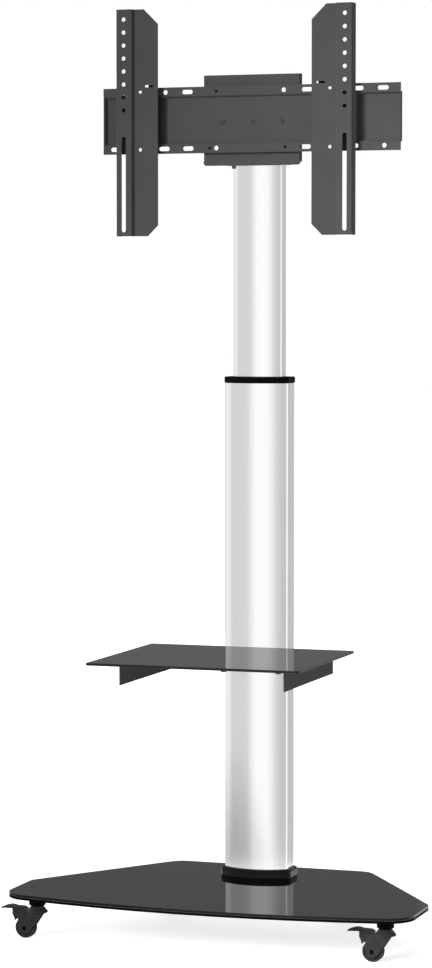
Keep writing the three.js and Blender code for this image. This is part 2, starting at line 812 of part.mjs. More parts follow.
function socketScrew() {
  const seat = headPlateBottom - fitGap;
  const headBottom = seat - socketScrewHeadHeight;
  const tip = headBottom + socketScrewLength;
  return union(
    rodZ(socketScrewX, socketScrewY, socketScrewHeadRadius, headBottom, seat, hexagonSteps),
    rodZ(socketScrewX, socketScrewY, socketScrewRadius, headBottom, tip, holeSteps),
  );
}

// Arms: places along X are counted outwards from each arm's inner edge

const armWidth = armPlateWidth + armStripWidth;
const arms = [
  { name: 'left', side: -1, inner: armLeftInner },
  { name: 'right', side: 1, inner: armRightInner },
];

// Block between two distances from an arm's inner edge
function armBlock({ side, inner }, from, to, front, back, low, high) {
  const ends = [side * (inner + from), side * (inner + to)].sort((a, b) => a - b);
  return block(ends[0], ends[1], front, back, low, high);
}

// Arm: plate, step forward to the strip, and an outer flange back to the rail
function arm(spot) {
  const { side, inner } = spot;
  const section = [
    [0, armPlateFront],
    [armPlateWidth, armPlateFront],
    [armPlateWidth, armStripFront],
    [armWidth, armStripFront],
    [armWidth, armBack],
    [armWidth - armSheet, armBack],
    [armWidth - armSheet, armStripFront + armSheet],
    [armPlateWidth + armSheet, armStripFront + armSheet],
    [armPlateWidth + armSheet, armPlateBack],
    [0, armPlateBack],
  ].map(([from, y]) => new THREE.Vector2(side * (inner + from), y));
  const tongueBack = railPanelFront - slideGap;
  const tongue = armBlock(
    spot, armWidth - armSheet, armWidth,
    armStripFront, tongueBack, recessBottom + slideGap, recessTop - slideGap,
  );
  const at = (from) => side * (inner + from);
  const corner = (tip, reach) => [
    [at(-cutOverrun), tip + Math.sign(reach) * cutOverrun],
    [at(Math.abs(reach) + cutOverrun), tip + Math.sign(reach) * cutOverrun],
    [at(-cutOverrun), tip - reach - Math.sign(reach) * cutOverrun],
  ].map(([x, z]) => new THREE.Vector2(x, z));
  const holeX = at(armWidth - armHoleInset);
  const outlines = [
    corner(armTop, armTopChamfer),
    corner(armBottom, -armBottomChamfer),
    slotOutline(holeX, armBottom + armSlotBottom + armSlotLength / 2, armSlotLength, armSlotWidth, true),
    circle(at(armPlateHoleFromInner), railBottom + armPlateHoleUpper, armPlateHoleRadius),
    circle(at(armPlateHoleFromInner), railBottom + armPlateHoleLower, armPlateHoleRadius),
    slotOutline(
      at(armHookSlotFromInner + armHookSlotLength / 2), railTop + armHookSlotHeight / 2,
      armHookSlotLength, armHookSlotHeight,
    ),
  ];
  for (let i = 0; i < armHoleCount; i += 1) {
    outlines.push(circle(holeX, armTop - armHoleTop - i * armHolePitch, armHoleRadius));
  }
  const cutters = outlines.map((outline) => alongY(outline, armStripFront - cutOverrun, armBack - fitGap));
  return cut(union(alongZ(section, armBottom, armTop), tongue), ...cutters);
}

const hangerFrontOfRail = railFront - slideGap - armSheet;
const hangerLow = recessBottom + slideGap;
const hangerHigh = recessTop - slideGap;
const hangerScrewFromInner = hangerHookFromInner + hangerHookWidth / 2;
const hangerScrewY = railFront + railSheet / 2;

// Hanger: a box section in the rail's recess, a hook over the rail and a foot under it
function hanger(spot) {
  const front = armPlateBack + fitGap;
  const back = railPanelFront - slideGap;
  const inside = armSheet;
  const body = armBlock(spot, 0, hangerWidth, front, back, hangerLow, hangerHigh);
  const hollow = armBlock(
    spot, inside, hangerWidth - inside,
    front - cutOverrun, back - inside, hangerLow + inside, hangerHigh - inside,
  );
  const hookEnd = hangerHookFromInner + hangerHookWidth;
  const hookLow = railTop + slideGap;
  const hookTop = hookLow + hangerHookThickness;
  const hookBack = railFront + railSheet + slideGap + armSheet;
  const footTop = railBottom - slideGap;
  const footBottom = footTop - hangerFootThickness;
  const neck = armBlock(
    spot, hangerHookFromInner, hookEnd,
    hangerFrontOfRail, railFront - slideGap, footBottom, hookTop,
  );
  const over = armBlock(
    spot, hangerHookFromInner, hookEnd,
    hangerFrontOfRail, hookBack, hookLow, hookTop,
  );
  const behind = armBlock(
    spot, hangerHookFromInner, hookEnd,
    hookBack - armSheet, hookBack, hookLow - hangerHookDrop, hookTop,
  );
  const foot = armBlock(
    spot, hangerHookFromInner, hookEnd,
    hangerFrontOfRail, hangerFrontOfRail + hangerFootDepth, footBottom, footTop,
  );
  const screwX = spot.side * (spot.inner + hangerScrewFromInner);
  const screwHole = rodZ(
    screwX, hangerScrewY, hangerScrewRadius + fitGap,
    footBottom - cutOverrun, footTop + fitGap, holeSteps,
  );
  return cut(union(cut(body, hollow), neck, over, behind, foot), screwHole);
}

function hangerScrew({ side, inner }) {
  const x = side * (inner + hangerScrewFromInner);
  const tip = railBottom - fitGap;
  const headTop = tip - hangerScrewLength;
  return union(
    rodZ(x, hangerScrewY, hangerScrewRadius, headTop - fitGap, tip, holeSteps),
    rodZ(x, hangerScrewY, hangerScrewHeadRadius, headTop - hangerScrewHeadHeight, headTop, hexagonSteps),
  );
}

// Shelf

const bracketOuter = shelfWidth / 2 - bracketInset;
const crossBarTop = bracketTop - shelfSheet - fitGap;
const crossBarBottom = bracketBottom + crossBarLift;
const crossBarBack = lowerTubeFront - crossBarClearance;
const crossBarFront = crossBarBack - crossBarDepth;
const crossBarMiddle = (crossBarTop + crossBarBottom) / 2;
const strapInner = lowerTube.width / 2 + slideGap;
const strapOuter = strapInner + shelfSheet;
const clampBoltX = strapOuter + clampBoltFromStrap;
const saddleScrewY = crossBarFront + saddleScrewSetback;

function shelfGlass() {
  const half = shelfWidth / 2;
  return alongZ(rectangle(-half, half, shelfFront, shelfBack, shelfCorner), shelfGlassBottom, shelfTop);
}

// Side bracket: upright sheet, its top edge folded inwards under the glass
function shelfSide(side) {
  const section = [
    [bracketOuter, bracketBottom],
    [bracketOuter, bracketTop],
    [bracketOuter - bracketFlange, bracketTop],
    [bracketOuter - bracketFlange, bracketTop - shelfSheet],
    [bracketOuter - shelfSheet, bracketTop - shelfSheet],
    [bracketOuter - shelfSheet, bracketBottom],
  ].map(([x, z]) => new THREE.Vector2(side * x, z));
  return alongY(section, shelfFront + bracketSetback, shelfBack + bracketOverhang);
}

// Cross bar: channel open to the back, bolted to the strap and screwed to the saddle
function shelfCrossBar() {
  const half = bracketOuter - shelfSheet - fitGap;
  const section = [
    [crossBarFront, crossBarBottom],
    [crossBarBack, crossBarBottom],
    [crossBarBack, crossBarBottom + shelfSheet],
    [crossBarFront + shelfSheet, crossBarBottom + shelfSheet],
    [crossBarFront + shelfSheet, crossBarTop - shelfSheet],
    [crossBarBack, crossBarTop - shelfSheet],
    [crossBarBack, crossBarTop],
    [crossBarFront, crossBarTop],
  ].map(([y, z]) => new THREE.Vector2(y, z));
  const webBack = crossBarFront + shelfSheet + cutOverrun;
  const boltHoles = [-clampBoltX, clampBoltX].map((x) => (
    rodY(x, crossBarMiddle, clampBoltRadius + fitGap, crossBarFront - cutOverrun, webBack, holeSteps)
  ));
  const flangeTop = crossBarBottom + shelfSheet + cutOverrun;
  const screwHoles = [-1, 1].map((side) => rodZ(
    (side * saddleScrewSpacing) / 2, saddleScrewY, saddleScrewRadius + fitGap,
    crossBarBottom - cutOverrun, flangeTop, holeSteps,
  ));
  return cut(alongX(section, -half, half), ...boltHoles, ...screwHoles);
}

// Saddle in the channel, its back hollowed to the column's bowed front
function shelfSaddle() {
  const half = lowerTube.width / 2 - saddleInset;
  const low = crossBarBottom + shelfSheet + fitGap;
  const high = crossBarTop - shelfSheet - fitGap;
  const back = columnSetback - lowerTube.depth / 2 + lowerTube.bow;
  const body = block(-half, half, crossBarFront + shelfSheet + fitGap, back, low, high);
  const column = alongZ(barrel(lowerTube, slideGap), low - cutOverrun, high + cutOverrun);
  const screwTop = crossBarBottom + saddleScrewLength;
  const screwHoles = [-1, 1].map((side) => rodZ(
    (side * saddleScrewSpacing) / 2, saddleScrewY, saddleScrewRadius + fitGap,
    low - cutOverrun, screwTop, holeSteps,
  ));
  return cut(body, column, ...screwHoles);
}

// Strap round the back of the column, with an ear on each side against the cross bar
function shelfStrap() {
  const low = crossBarBottom + strapMargin;
  const high = crossBarTop - strapMargin;
  const earFront = crossBarBack + fitGap;
  const band = alongZ(barrel(lowerTube, slideGap + shelfSheet), low, high, [barrel(lowerTube, slideGap)]);
  const frontHalf = block(
    -2 * strapOuter, 2 * strapOuter,
    columnSetback - lowerTube.depth, columnSetback,
    low - cutOverrun, high + cutOverrun,
  );
  const sides = [-1, 1].flatMap((side) => {
    const span = (from, to) => [side * from, side * to].sort((a, b) => a - b);
    const [legLeft, legRight] = span(strapInner, strapOuter);
    const [earLeft, earRight] = span(strapInner, strapOuter + strapEarWidth);
    return [
      block(legLeft, legRight, earFront, columnSetback + fitGap, low, high),
      block(earLeft, earRight, earFront, earFront + shelfSheet, low, high),
    ];
  });
  const holes = [-clampBoltX, clampBoltX].map((x) => rodY(
    x, crossBarMiddle, clampBoltRadius + fitGap,
    earFront - cutOverrun, earFront + shelfSheet + cutOverrun, holeSteps,
  ));
  return cut(union(cut(band, frontHalf), ...sides), ...holes);
}

// Clamp bolt with its nut in front of the cross bar
function clampBolt(side) {
  const x = side * clampBoltX;
  const headFront = crossBarBack + fitGap + shelfSheet + fitGap;
  const headBack = headFront + clampBoltHeadHeight;
  const nutBack = crossBarFront - fitGap;
  const nutFront = nutBack - clampBoltHeadHeight;
  return union(
    rodY(x, crossBarMiddle, clampBoltHeadRadius, headFront, headBack, hexagonSteps),
    rodY(x, crossBarMiddle, clampBoltHeadRadius, nutFront, nutBack, hexagonSteps),
    rodY(x, crossBarMiddle, clampBoltRadius, nutFront - fitGap, headFront + fitGap, holeSteps),
  );
}

function saddleScrew(side) {
  const x = (side * saddleScrewSpacing) / 2;
  const seat = crossBarBottom - fitGap;
  const headBottom = seat - saddleScrewHeadHeight;
  return union(
    rodZ(x, saddleScrewY, saddleScrewHeadRadius, headBottom, seat),
    rodZ(x, saddleScrewY, saddleScrewRadius, headBottom + fitGap, seat + saddleScrewLength, holeSteps),
  );
}

// Casters: each is built about its swivel axis, trailing towards -X

const pedalInner = wheelWidth / 2 + pedalWheelGap;
const pedalOuter = pedalInner + pedalWall;
const cheekInner = pedalOuter + fitGap;
const cheekOuter = cheekInner + cheekThickness;
const pedalBottom = forkHeadBottom - pedalDrop;
const pivotX = -pedalPivotBack;
const pivotZ = forkHeadBottom - pedalPivotDrop;

// Boss under the base with the stem that carries the fork
function casterBoss() {
  const step = bossBottom + bossStepHeight;
  return turnedZ([
    [0, forkHeadBottom - stemTail],
    [stemRadius, forkHeadBottom - stemTail],
    [stemRadius, bossBottom],
    [bossStepRadius, bossBottom],
    [bossStepRadius, step],
    [bossRadius, step],
    [bossRadius, bossTop],
    [stemRadius, bossTop],
    [stemRadius, basePlateTop],
    [0, basePlateTop],
  ]);
}

// Fork: flared head with a cheek on each side of the wheel
function casterFork() {
  const head = turnedZ([
    [stemRadius + fitGap, forkHeadBottom],
    [forkHeadRadius, forkHeadBottom],
    [forkHeadRadius, forkHeadBottom + forkHeadRimHeight],
    [forkNeckRadius, forkHeadTop],
    [stemRadius + fitGap, forkHeadTop],
  ]);
  const axle = new THREE.Vector2(-casterTrail, axleHeight);
  const front = new THREE.Vector2(cheekFront, forkHeadBottom + forkHeadRimHeight / 2);
  const toFront = front.clone().sub(axle);
  const tangent = toFront.angle() - Math.acos(cheekFootRadius / toFront.length());
  const outline = [
    front,
    ...arc(axle.x, axle.y, cheekFootRadius, tangent, -Math.PI, 2 * cornerSteps),
    new THREE.Vector2(axle.x - cheekFootRadius, front.y),
  ];
  const axleHole = circle(axle.x, axle.y, axleRadius + fitGap);
  const pivotHole = circle(pivotX, pivotZ, pedalPivotRadius + fitGap, holeSteps / 2);
  const cheeks = [[-cheekOuter, -cheekInner], [cheekInner, cheekOuter]].map(([near, far]) => (
    alongY(outline, near, far, [axleHole, pivotHole])
  ));
  return union(head, ...cheeks);
}

function casterAxle() {
  const seat = cheekOuter + fitGap;
  const end = seat + axleHeadThickness;
  const profile = [
    [0, -end],
    [axleHeadRadius, -end],
    [axleHeadRadius, -seat],
    [axleRadius, -seat],
    [axleRadius, seat],
    [axleHeadRadius, seat],
    [axleHeadRadius, end],
    [0, end],
  ];
  return turnedY(profile, holeSteps).translate([-casterTrail, 0, axleHeight]);
}

// Wheel: its flats touch the floor, so it stands still
function casterWheel() {
  const tread = wheelRadius / Math.cos(Math.PI / wheelSteps);
  const side = wheelWidth / 2;
  const face = side - wheelRecess;
  const rim = tread - wheelRimWidth;
  const half = [
    [axleRadius + fitGap, face],
    [rim, face],
    [rim, side],
    [tread - wheelChamfer, side],
    [tread, side - wheelChamfer],
  ];
  const mirrored = half.map(([radius, y]) => [radius, -y]).reverse();
  const wheel = turnedY([...half, ...mirrored], wheelSteps, Math.PI / wheelSteps);
  return wheel.translate([-casterTrail, 0, axleHeight]);
}

// Brake pedal: cover with a foot tongue, a cheek on each side of the wheel, shoe and pivot stubs
const pedalCoverShares = [
  [0, 0.813], [0.146, 0.926], [0.476, 0.935], [0.553, 1], [0.728, 1], [0.883, 0.923], [1, 0.806],
  [0.99, 0.771], [0.864, 0.826], [0.742, 0.803], [0.583, 0.816], [0.569, 0.548], [0.485, 0.242],
  [0.449, 0.268], [0.526, 0.558], [0.534, 0.848], [0.153, 0.842], [0, 0.723],
];
const pedalCheekShares = [
  [0, 0.597], [0, 0.774], [0.146, 0.884], [0.476, 0.897], [0.55, 0.839], [0.561, 0.548],
  [0.482, 0.226], [0.485, 0], [0.398, 0.145], [0.282, 0.226], [0.049, 0.368],
];

function pedalPoint([lengthShare, heightShare]) {
  const x = -pedalFront - lengthShare * pedalLength;
  return new THREE.Vector2(x, pedalBottom + heightShare * pedalHeight);
}

function casterPedal() {
  const cover = alongY(pedalCoverShares.map(pedalPoint), -pedalOuter, pedalOuter);
  const cheekOutline = [
    ...arc(pivotX, pivotZ, pedalEyeRadius, -Math.PI / 2, Math.PI / 2, 2 * cornerSteps),
    ...pedalCheekShares.map(pedalPoint),
  ];
  const cheeks = [[-pedalOuter, -pedalInner], [pedalInner, pedalOuter]].map(([near, far]) => (
    alongY(cheekOutline, near, far)
  ));
  const stubs = [[-cheekOuter, -pedalInner], [pedalInner, cheekOuter]].map(([near, far]) => (
    rodY(pivotX, pivotZ, pedalPivotRadius, near, far, holeSteps / 2)
  ));
  const shoeX = -casterTrail - brakeShoeBack;
  const shoeBottom = axleHeight + Math.sqrt((wheelRadius + brakeGap) ** 2 - brakeShoeBack ** 2);
  const [coverInside] = pedalCoverShares.slice(-2).map(pedalPoint);
  const shoe = block(
    shoeX - brakeShoeLength / 2, shoeX + brakeShoeLength / 2,
    -pedalInner - fitGap, pedalInner + fitGap,
    shoeBottom, coverInside.y + fitGap,
  );
  return union(cover, ...cheeks, ...stubs, shoe);
}

// The stand

function buildBase(stand) {
  const base = new THREE.Group();
  addPiece(base, 'base_glass', baseGlass(), 'blackGlass');
  addPiece(base, 'base_plate', basePlate(), 'blackSteel');
  addPiece(base, 'column_foot', columnFoot(), 'paintedCasting');
  addPiece(base, 'foot_skirt', footSkirt(), 'glossPlastic');
  addPiece(base, 'lower_tube', lowerTubeBody(), 'aluminium');
  addPiece(base, 'column_collar', columnCollar(), 'mattePlastic');
  addPiece(base, 'lock_bush', lockBush(), 'darkSteel');
  addPiece(base, 'lock_shoe', lockShoe(), 'mattePlastic');
  addPiece(base, 'lock_knob', lockKnob(), 'mattePlastic');
  footBoltPlaces().forEach((bolt) => addPiece(base, `foot_bolt_${bolt.name}`, footBolt(bolt), 'darkSteel'));
  stand.add(base);
}

function buildCasters(stand) {
  casterPlaces().forEach(({ name, x, y }) => {
    const caster = new THREE.Group();
    addPiece(caster, `caster_boss_${name}`, casterBoss(), 'darkSteel');
    addPiece(caster, `caster_fork_${name}`, casterFork(), 'casterPlastic');
    addPiece(caster, `caster_axle_${name}`, casterAxle(), 'darkSteel');
    addPiece(caster, `caster_wheel_${name}`, casterWheel(), 'tyre');
    addPiece(caster, `caster_pedal_${name}`, casterPedal(), 'casterPlastic');
    caster.position.set(x, y, 0);
    stand.add(caster);
  });
}

function buildMast(stand) {
  const mast = new THREE.Group();
  addPiece(mast, 'upper_tube', upperTubeBody(), 'aluminium');
  addPiece(mast, 'mast_glide', mastGlide(), 'mattePlastic');
  addPiece(mast, 'mast_cap', mastCap(), 'mattePlastic');
  addPiece(mast, 'head_socket', headSocket(), 'paintedCasting');
  addPiece(mast, 'head_plate', headPlate(), 'blackSteel');
  addPiece(mast, 'rail', rail(), 'blackSteel');
  addPiece(mast, 'socket_screw', socketScrew(), 'darkSteel');
  railBoltXs.forEach((x, i) => addPiece(mast, `rail_bolt_${railBoltNames[i]}`, railBolt(x), 'darkSteel'));
  arms.forEach((spot) => {
    const carriage = new THREE.Group();
    addPiece(carriage, `arm_${spot.name}`, arm(spot), 'blackSteel');
    addPiece(carriage, `hanger_${spot.name}`, hanger(spot), 'blackSteel');
    addPiece(carriage, `hanger_screw_${spot.name}`, hangerScrew(spot), 'darkSteel');
    mast.add(carriage);
  });
  stand.add(mast);
}

function buildShelf(stand) {
  const shelf = new THREE.Group();
  addPiece(shelf, 'shelf_glass', shelfGlass(), 'blackGlass');
  addPiece(shelf, 'shelf_cross_bar', shelfCrossBar(), 'blackSteel');
  addPiece(shelf, 'shelf_saddle', shelfSaddle(), 'mattePlastic');
  addPiece(shelf, 'shelf_strap', shelfStrap(), 'blackSteel');
  [['left', -1], ['right', 1]].forEach(([name, side]) => {
    addPiece(shelf, `shelf_side_${name}`, shelfSide(side), 'blackSteel');
    addPiece(shelf, `shelf_clamp_bolt_${name}`, clampBolt(side), 'darkSteel');
    addPiece(shelf, `shelf_saddle_screw_${name}`, saddleScrew(side), 'darkSteel');
  });
  stand.add(shelf);
}

// The shelf reaches out past the base's front, so the whole is set back by half of that
const shelfOverhang = Math.max(-shelfFront - baseDepth / 2, 0);
const stand = new THREE.Group();
stand.name = 'mobile_tv_stand';
buildBase(stand);
buildCasters(stand);
buildMast(stand);
buildShelf(stand);
stand.position.set(0, shelfOverhang / 2, 0);

export default stand;
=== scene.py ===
"""Looks of a mobile stand for a flat television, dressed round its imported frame.

Lengths in the modelling code are millimetres until a piece is set in place, which scales it to
metres. X runs across the stand, -Y faces the viewer and Z points up.
"""

import math

import bpy
from mathutils import Matrix, Vector


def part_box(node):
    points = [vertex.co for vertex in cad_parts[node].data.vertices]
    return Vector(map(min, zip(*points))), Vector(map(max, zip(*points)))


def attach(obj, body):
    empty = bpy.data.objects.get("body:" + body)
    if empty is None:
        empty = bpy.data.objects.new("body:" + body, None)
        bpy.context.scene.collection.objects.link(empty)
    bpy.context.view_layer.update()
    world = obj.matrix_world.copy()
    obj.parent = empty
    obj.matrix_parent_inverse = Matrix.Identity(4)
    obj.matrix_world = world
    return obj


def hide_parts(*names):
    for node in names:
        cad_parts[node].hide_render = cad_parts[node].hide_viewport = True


bl_info = {
    "name": "Mobile television stand",
    "version": (1, 0, 0),
    "blender": (4, 5, 0),
    "location": "View3D > Sidebar > TV stand",
    "description": "Models the pieces and finishes of a mobile television stand on its frame",
    "category": "Object",
}

MM = 0.001
CORNERS = ("front_left", "front_right", "back_left", "back_right")
SIDES = (("left", -1), ("right", 1))
# Pieces that show in the glass and the metal; the rest would only blacken the tubes
MIRRORED = ("lower_column_tube", "upper_column_tube", "column_collar_ring", "foot_skirt_ring")
SHEET = 2.5
BOLT_HOLE = 3.3
SCREW_HOLE = 2.8
# How far a cutter reaches past the piece that it cuts
PAST = 5

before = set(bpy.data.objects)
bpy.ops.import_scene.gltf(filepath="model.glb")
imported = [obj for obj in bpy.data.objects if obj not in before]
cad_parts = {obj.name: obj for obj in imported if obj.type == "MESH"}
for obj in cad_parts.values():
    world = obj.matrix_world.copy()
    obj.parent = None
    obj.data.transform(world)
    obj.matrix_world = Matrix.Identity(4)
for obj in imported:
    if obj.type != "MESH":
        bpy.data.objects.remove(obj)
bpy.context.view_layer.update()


def span(node):
    """Lowest and highest corner of a frame node, in millimetres."""
    low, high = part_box(node)
    return low / MM, high / MM


def middle(node):
    """Centre of a frame node, in millimetres."""
    return sum(span(node), Vector()) / 2


LOWER_TUBE = span("lower_tube")
UPPER_TUBE = span("upper_tube")
COLUMN_Y = (LOWER_TUBE[0].y + LOWER_TUBE[1].y) / 2


# Settings


def length(name, description, millimetres):
    return bpy.props.FloatProperty(
        name=name, description=description, default=millimetres * MM, min=0, unit="LENGTH"
    )


def colour(name, description, value):
    return bpy.props.FloatVectorProperty(
        name=name, description=description, default=value, size=3, min=0, max=1, subtype="COLOR"
    )


def factor(name, description, value, highest=1):
    return bpy.props.FloatProperty(
        name=name, description=description, default=value, min=0, max=highest, subtype="FACTOR"
    )


def power(name, description, watts):
    return bpy.props.FloatProperty(
        name=name, description=description, default=watts, min=0, unit="POWER"
    )


class FinishSettings(bpy.types.PropertyGroup):
    """Colours and gloss of the stand's finishes."""

    paint: colour("Paint", "Powder paint of the sheet steel", (0.065, 0.065, 0.067))
    aluminium: colour("Aluminium", "Anodised aluminium of the tubes", (0.84, 0.845, 0.855))
    glass: colour("Glass", "Black of the glass panels", (0.004, 0.004, 0.0045))
    gloss: colour("Gloss plastic", "Plastic of the foot skirt", (0.004, 0.004, 0.0042))
    matte: colour("Matte plastic", "Plastic of collar, cap and knob", (0.002, 0.002, 0.0021))
    caster: colour("Caster plastic", "Plastic of forks and pedals", (0.038, 0.038, 0.039))
    rubber: colour("Rubber", "Treads of the wheels", (0.040, 0.040, 0.040))
    steel: colour("Dark steel", "Bolts and screws", (0.075, 0.075, 0.08))
    casting: colour("Casting", "Painted castings of head and foot", (0.055, 0.055, 0.057))
    paint_roughness: factor("Paint roughness", "Roughness of the powder paint", 0.6)
    aluminium_roughness: factor("Brushing", "Roughness of the anodised tubes", 0.15)


class ColumnSettings(bpy.types.PropertyGroup):
    """Section of the two column tubes."""

    lower_bow: length("Lower bow", "Bulge of the lower tube's front and back", 22)
    lower_corner: length("Lower corner", "Corner radius of the lower tube", 6)
    lower_wall: length("Lower wall", "Wall of the lower tube", 3)
    upper_bow: length("Upper bow", "Bulge of the upper tube's front and back", 16)
    upper_corner: length("Upper corner", "Corner radius of the upper tube", 5)
    upper_wall: length("Upper wall", "Wall of the upper tube", 2.8)
    skirt_round: length("Skirt rounding", "Rounded top edge of the foot skirt", 5)
    collar_round: length("Collar rounding", "Rounded top edge of the collar", 2)


class SheetSettings(bpy.types.PropertyGroup):
    """Folds and edges of the sheet steel."""

    fold: length("Fold radius", "Outer radius of the folds", 3)
    edge: length("Edge rounding", "Softened edges of the cut sheet", 0.35)


class GlassSettings(bpy.types.PropertyGroup):
    """Edges of the glass panels."""

    polish: length("Polished edge", "Width of the polished edge", 0.9)


class CasterSettings(bpy.types.PropertyGroup):
    """Roundings of the casters and the height knob."""

    tread_round: length("Tread rounding", "Rounded shoulders of the tread", 2)
    knob_round: length("Knob rounding", "Rounded edges of the height knob", 2.2)


class StageSettings(bpy.types.PropertyGroup):
    """Camera and light."""

    camera_place: bpy.props.FloatVectorProperty(
        name="Camera place", description="Where the camera stands", size=3,
        default=(1.9012, -5.6780, 1.2068), subtype="TRANSLATION", unit="LENGTH",
    )
    camera_turn: bpy.props.FloatVectorProperty(
        name="Camera turn", description="Tilt, roll and heading of the camera", size=3,
        default=(math.radians(86.756), 0, math.radians(18.84)), subtype="EULER",
    )
    lens: bpy.props.FloatProperty(
        name="Lens", description="Focal length on a 36 mm sensor", default=117.015, min=1
    )
    sky: factor("Sky", "Strength of the even light from all round", 0.25, 4)
    key: power("Key light", "Power of the soft lamp", 40)
    fill: power("Back light", "Power of the lamp behind", 90)


SETTINGS = (
    ("tv_finish", FinishSettings),
    ("tv_column", ColumnSettings),
    ("tv_sheet", SheetSettings),
    ("tv_glass", GlassSettings),
    ("tv_caster", CasterSettings),
    ("tv_stage", StageSettings),
)


def settings(name):
    return getattr(bpy.context.scene, name)


def mm(metres):
    return metres / MM


# Modelling steps


def deselect():
    if bpy.context.object and bpy.context.object.mode != "OBJECT":
        bpy.ops.object.mode_set(mode="OBJECT")
    bpy.ops.object.select_all(action="DESELECT")


def activate(piece):
    deselect()
    piece.select_set(True)
    bpy.context.view_layer.objects.active = piece


def edit(piece):
    activate(piece)
    bpy.ops.object.mode_set(mode="EDIT")
    bpy.ops.mesh.select_all(action="SELECT")


def leave(piece):
    bpy.ops.object.mode_set(mode="OBJECT")
    return piece


def flat(x, y):
    return Vector((x, y))


def corner_arc(before, corner, after, radius):
    """Start, centre and signed angle of the arc that rounds a corner of an outline."""
    back = (before - corner).normalized()
    ahead = (after - corner).normalized()
    half = back.angle(ahead) / 2
    centre = corner + (back + ahead).normalized() * (radius / math.sin(half))
    start = corner + back * (radius / math.tan(half))
    turn = math.copysign(math.pi - 2 * half, back.y * ahead.x - back.x * ahead.y)
    return start, centre, turn


def rounded(corners):
    """Moves of a closed outline through (x, y) or (x, y, radius) corners."""
    points = [flat(*corner[:2]) for corner in corners]
    moves = []
    for i, corner in enumerate(corners):
        if len(corner) > 2:
            after = points[(i + 1) % len(points)]
            start, centre, turn = corner_arc(points[i - 1], points[i], after, corner[2])
            moves += [("to", start), ("round", centre, turn)]
        else:
            moves.append(("to", points[i]))
    return moves


def walk(name, moves, step=10):
    """Closed chain of edges from moves, made by carrying one vertex round the outline."""
    deselect()
    bpy.ops.mesh.primitive_plane_add(size=1)
    piece = bpy.context.object
    piece.name = name
    edit(piece)
    bpy.ops.mesh.merge(type="CENTER")
    here = moves[0][1]
    bpy.ops.transform.translate(value=(here.x, here.y, 0))
    for move in moves[1:]:
        if move[0] == "to":
            shift_by = move[1] - here
            if shift_by.length > 1e-4:
                bpy.ops.mesh.extrude_region_move(
                    TRANSFORM_OT_translate={"value": (shift_by.x, shift_by.y, 0)}
                )
            here = move[1]
        else:
            centre, turn = move[1:]
            # The spin operator turns clockwise for a positive angle
            bpy.ops.mesh.spin(
                steps=max(2, math.ceil(abs(math.degrees(turn)) / step)), angle=-turn,
                center=(centre.x, centre.y, 0), axis=(0, 0, 1),
            )
            here = centre + Matrix.Rotation(turn, 2) @ (here - centre)
    return leave(piece)


TURNS = {
    "Z": Matrix.Identity(4),
    "Y": Matrix(((1, 0, 0, 0), (0, 0, -1, 0), (0, 1, 0, 0), (0, 0, 0, 1))),
    "X": Matrix(((0, 0, 1, 0), (1, 0, 0, 0), (0, 1, 0, 0), (0, 0, 0, 1))),
}


def face_along(piece, axis):
    """Turns a piece modelled along Z so that it runs along another axis."""
    activate(piece)
    piece.matrix_world = TURNS[axis]
    bpy.ops.object.transform_apply(location=True, rotation=True, scale=True)
    return piece


def prism(name, moves, low, high, axis="Z", step=10):
    """Solid between two heights: (x, y) outline along Z, (x, z) along Y, (y, z) along X."""
    piece = walk(name, moves, step)
    if axis == "Y":
        low, high = -high, -low
    edit(piece)
    bpy.ops.mesh.remove_doubles(threshold=1e-3)
    bpy.ops.mesh.edge_face_add()
    bpy.ops.transform.translate(value=(0, 0, low))
    bpy.ops.mesh.extrude_region_move(TRANSFORM_OT_translate={"value": (0, 0, high - low)})
    bpy.ops.mesh.select_all(action="SELECT")
    bpy.ops.mesh.normals_make_consistent(inside=False)
    return face_along(leave(piece), axis)


def turned(name, corners, axis="Z", centre=(0, 0, 0), steps=48):
    """Piece of revolution from (radius, height) or (radius, height, rounding) corners."""
    piece = walk(name, rounded(corners), 22)
    edit(piece)
    bpy.ops.mesh.spin(steps=steps, angle=2 * math.pi, center=(0, 0, 0), axis=(0, 1, 0))
    bpy.ops.mesh.select_all(action="SELECT")
    bpy.ops.mesh.remove_doubles(threshold=1e-3)
    bpy.ops.mesh.normals_make_consistent(inside=False)
    leave(piece)
    if axis == "Z":
        # The outline is spun about Y, so an upright piece is stood up afterwards
        face_along(piece, "Y")
    return shift(piece, centre)


def shift(piece, by):
    edit(piece)
    bpy.ops.transform.translate(value=tuple(by))
    return leave(piece)


def rod(name, radius, start, end, sides=32, axis="Z"):
    """Cylinder between two points that differ along one axis."""
    start, end = Vector(start), Vector(end)
    deselect()
    bpy.ops.mesh.primitive_cylinder_add(vertices=sides, radius=radius, depth=(end - start).length)
    piece = face_along(bpy.context.object, axis)
    piece.name = name
    return shift(piece, (start + end) / 2)


def upright_rod(name, radius, x, y, low, high, sides=32):
    return rod(name, radius, (x, y, low), (x, y, high), sides)


def level_rod(name, radius, x, z, front, back, sides=32):
    return rod(name, radius, (x, front, z), (x, back, z), sides, "Y")


def box(name, low, high):
    low, high = Vector(low), Vector(high)
    deselect()
    bpy.ops.mesh.primitive_cube_add(size=1, location=(low + high) / 2)
    piece = bpy.context.object
    piece.scale = high - low
    bpy.ops.object.transform_apply(location=True, rotation=True, scale=True)
    piece.name = name
    return piece


def bore(moves, low, high, step=4):
    """Cutter of an outline that passes a piece at both ends."""
    return prism("bore", moves, low.z - PAST, high.z + PAST, step=step)


def hole_cutter(x, z, radius, front, back):
    """Round cutter through a sheet that faces the viewer."""
    return level_rod("hole", radius, x, z, front - 4, back + 4)


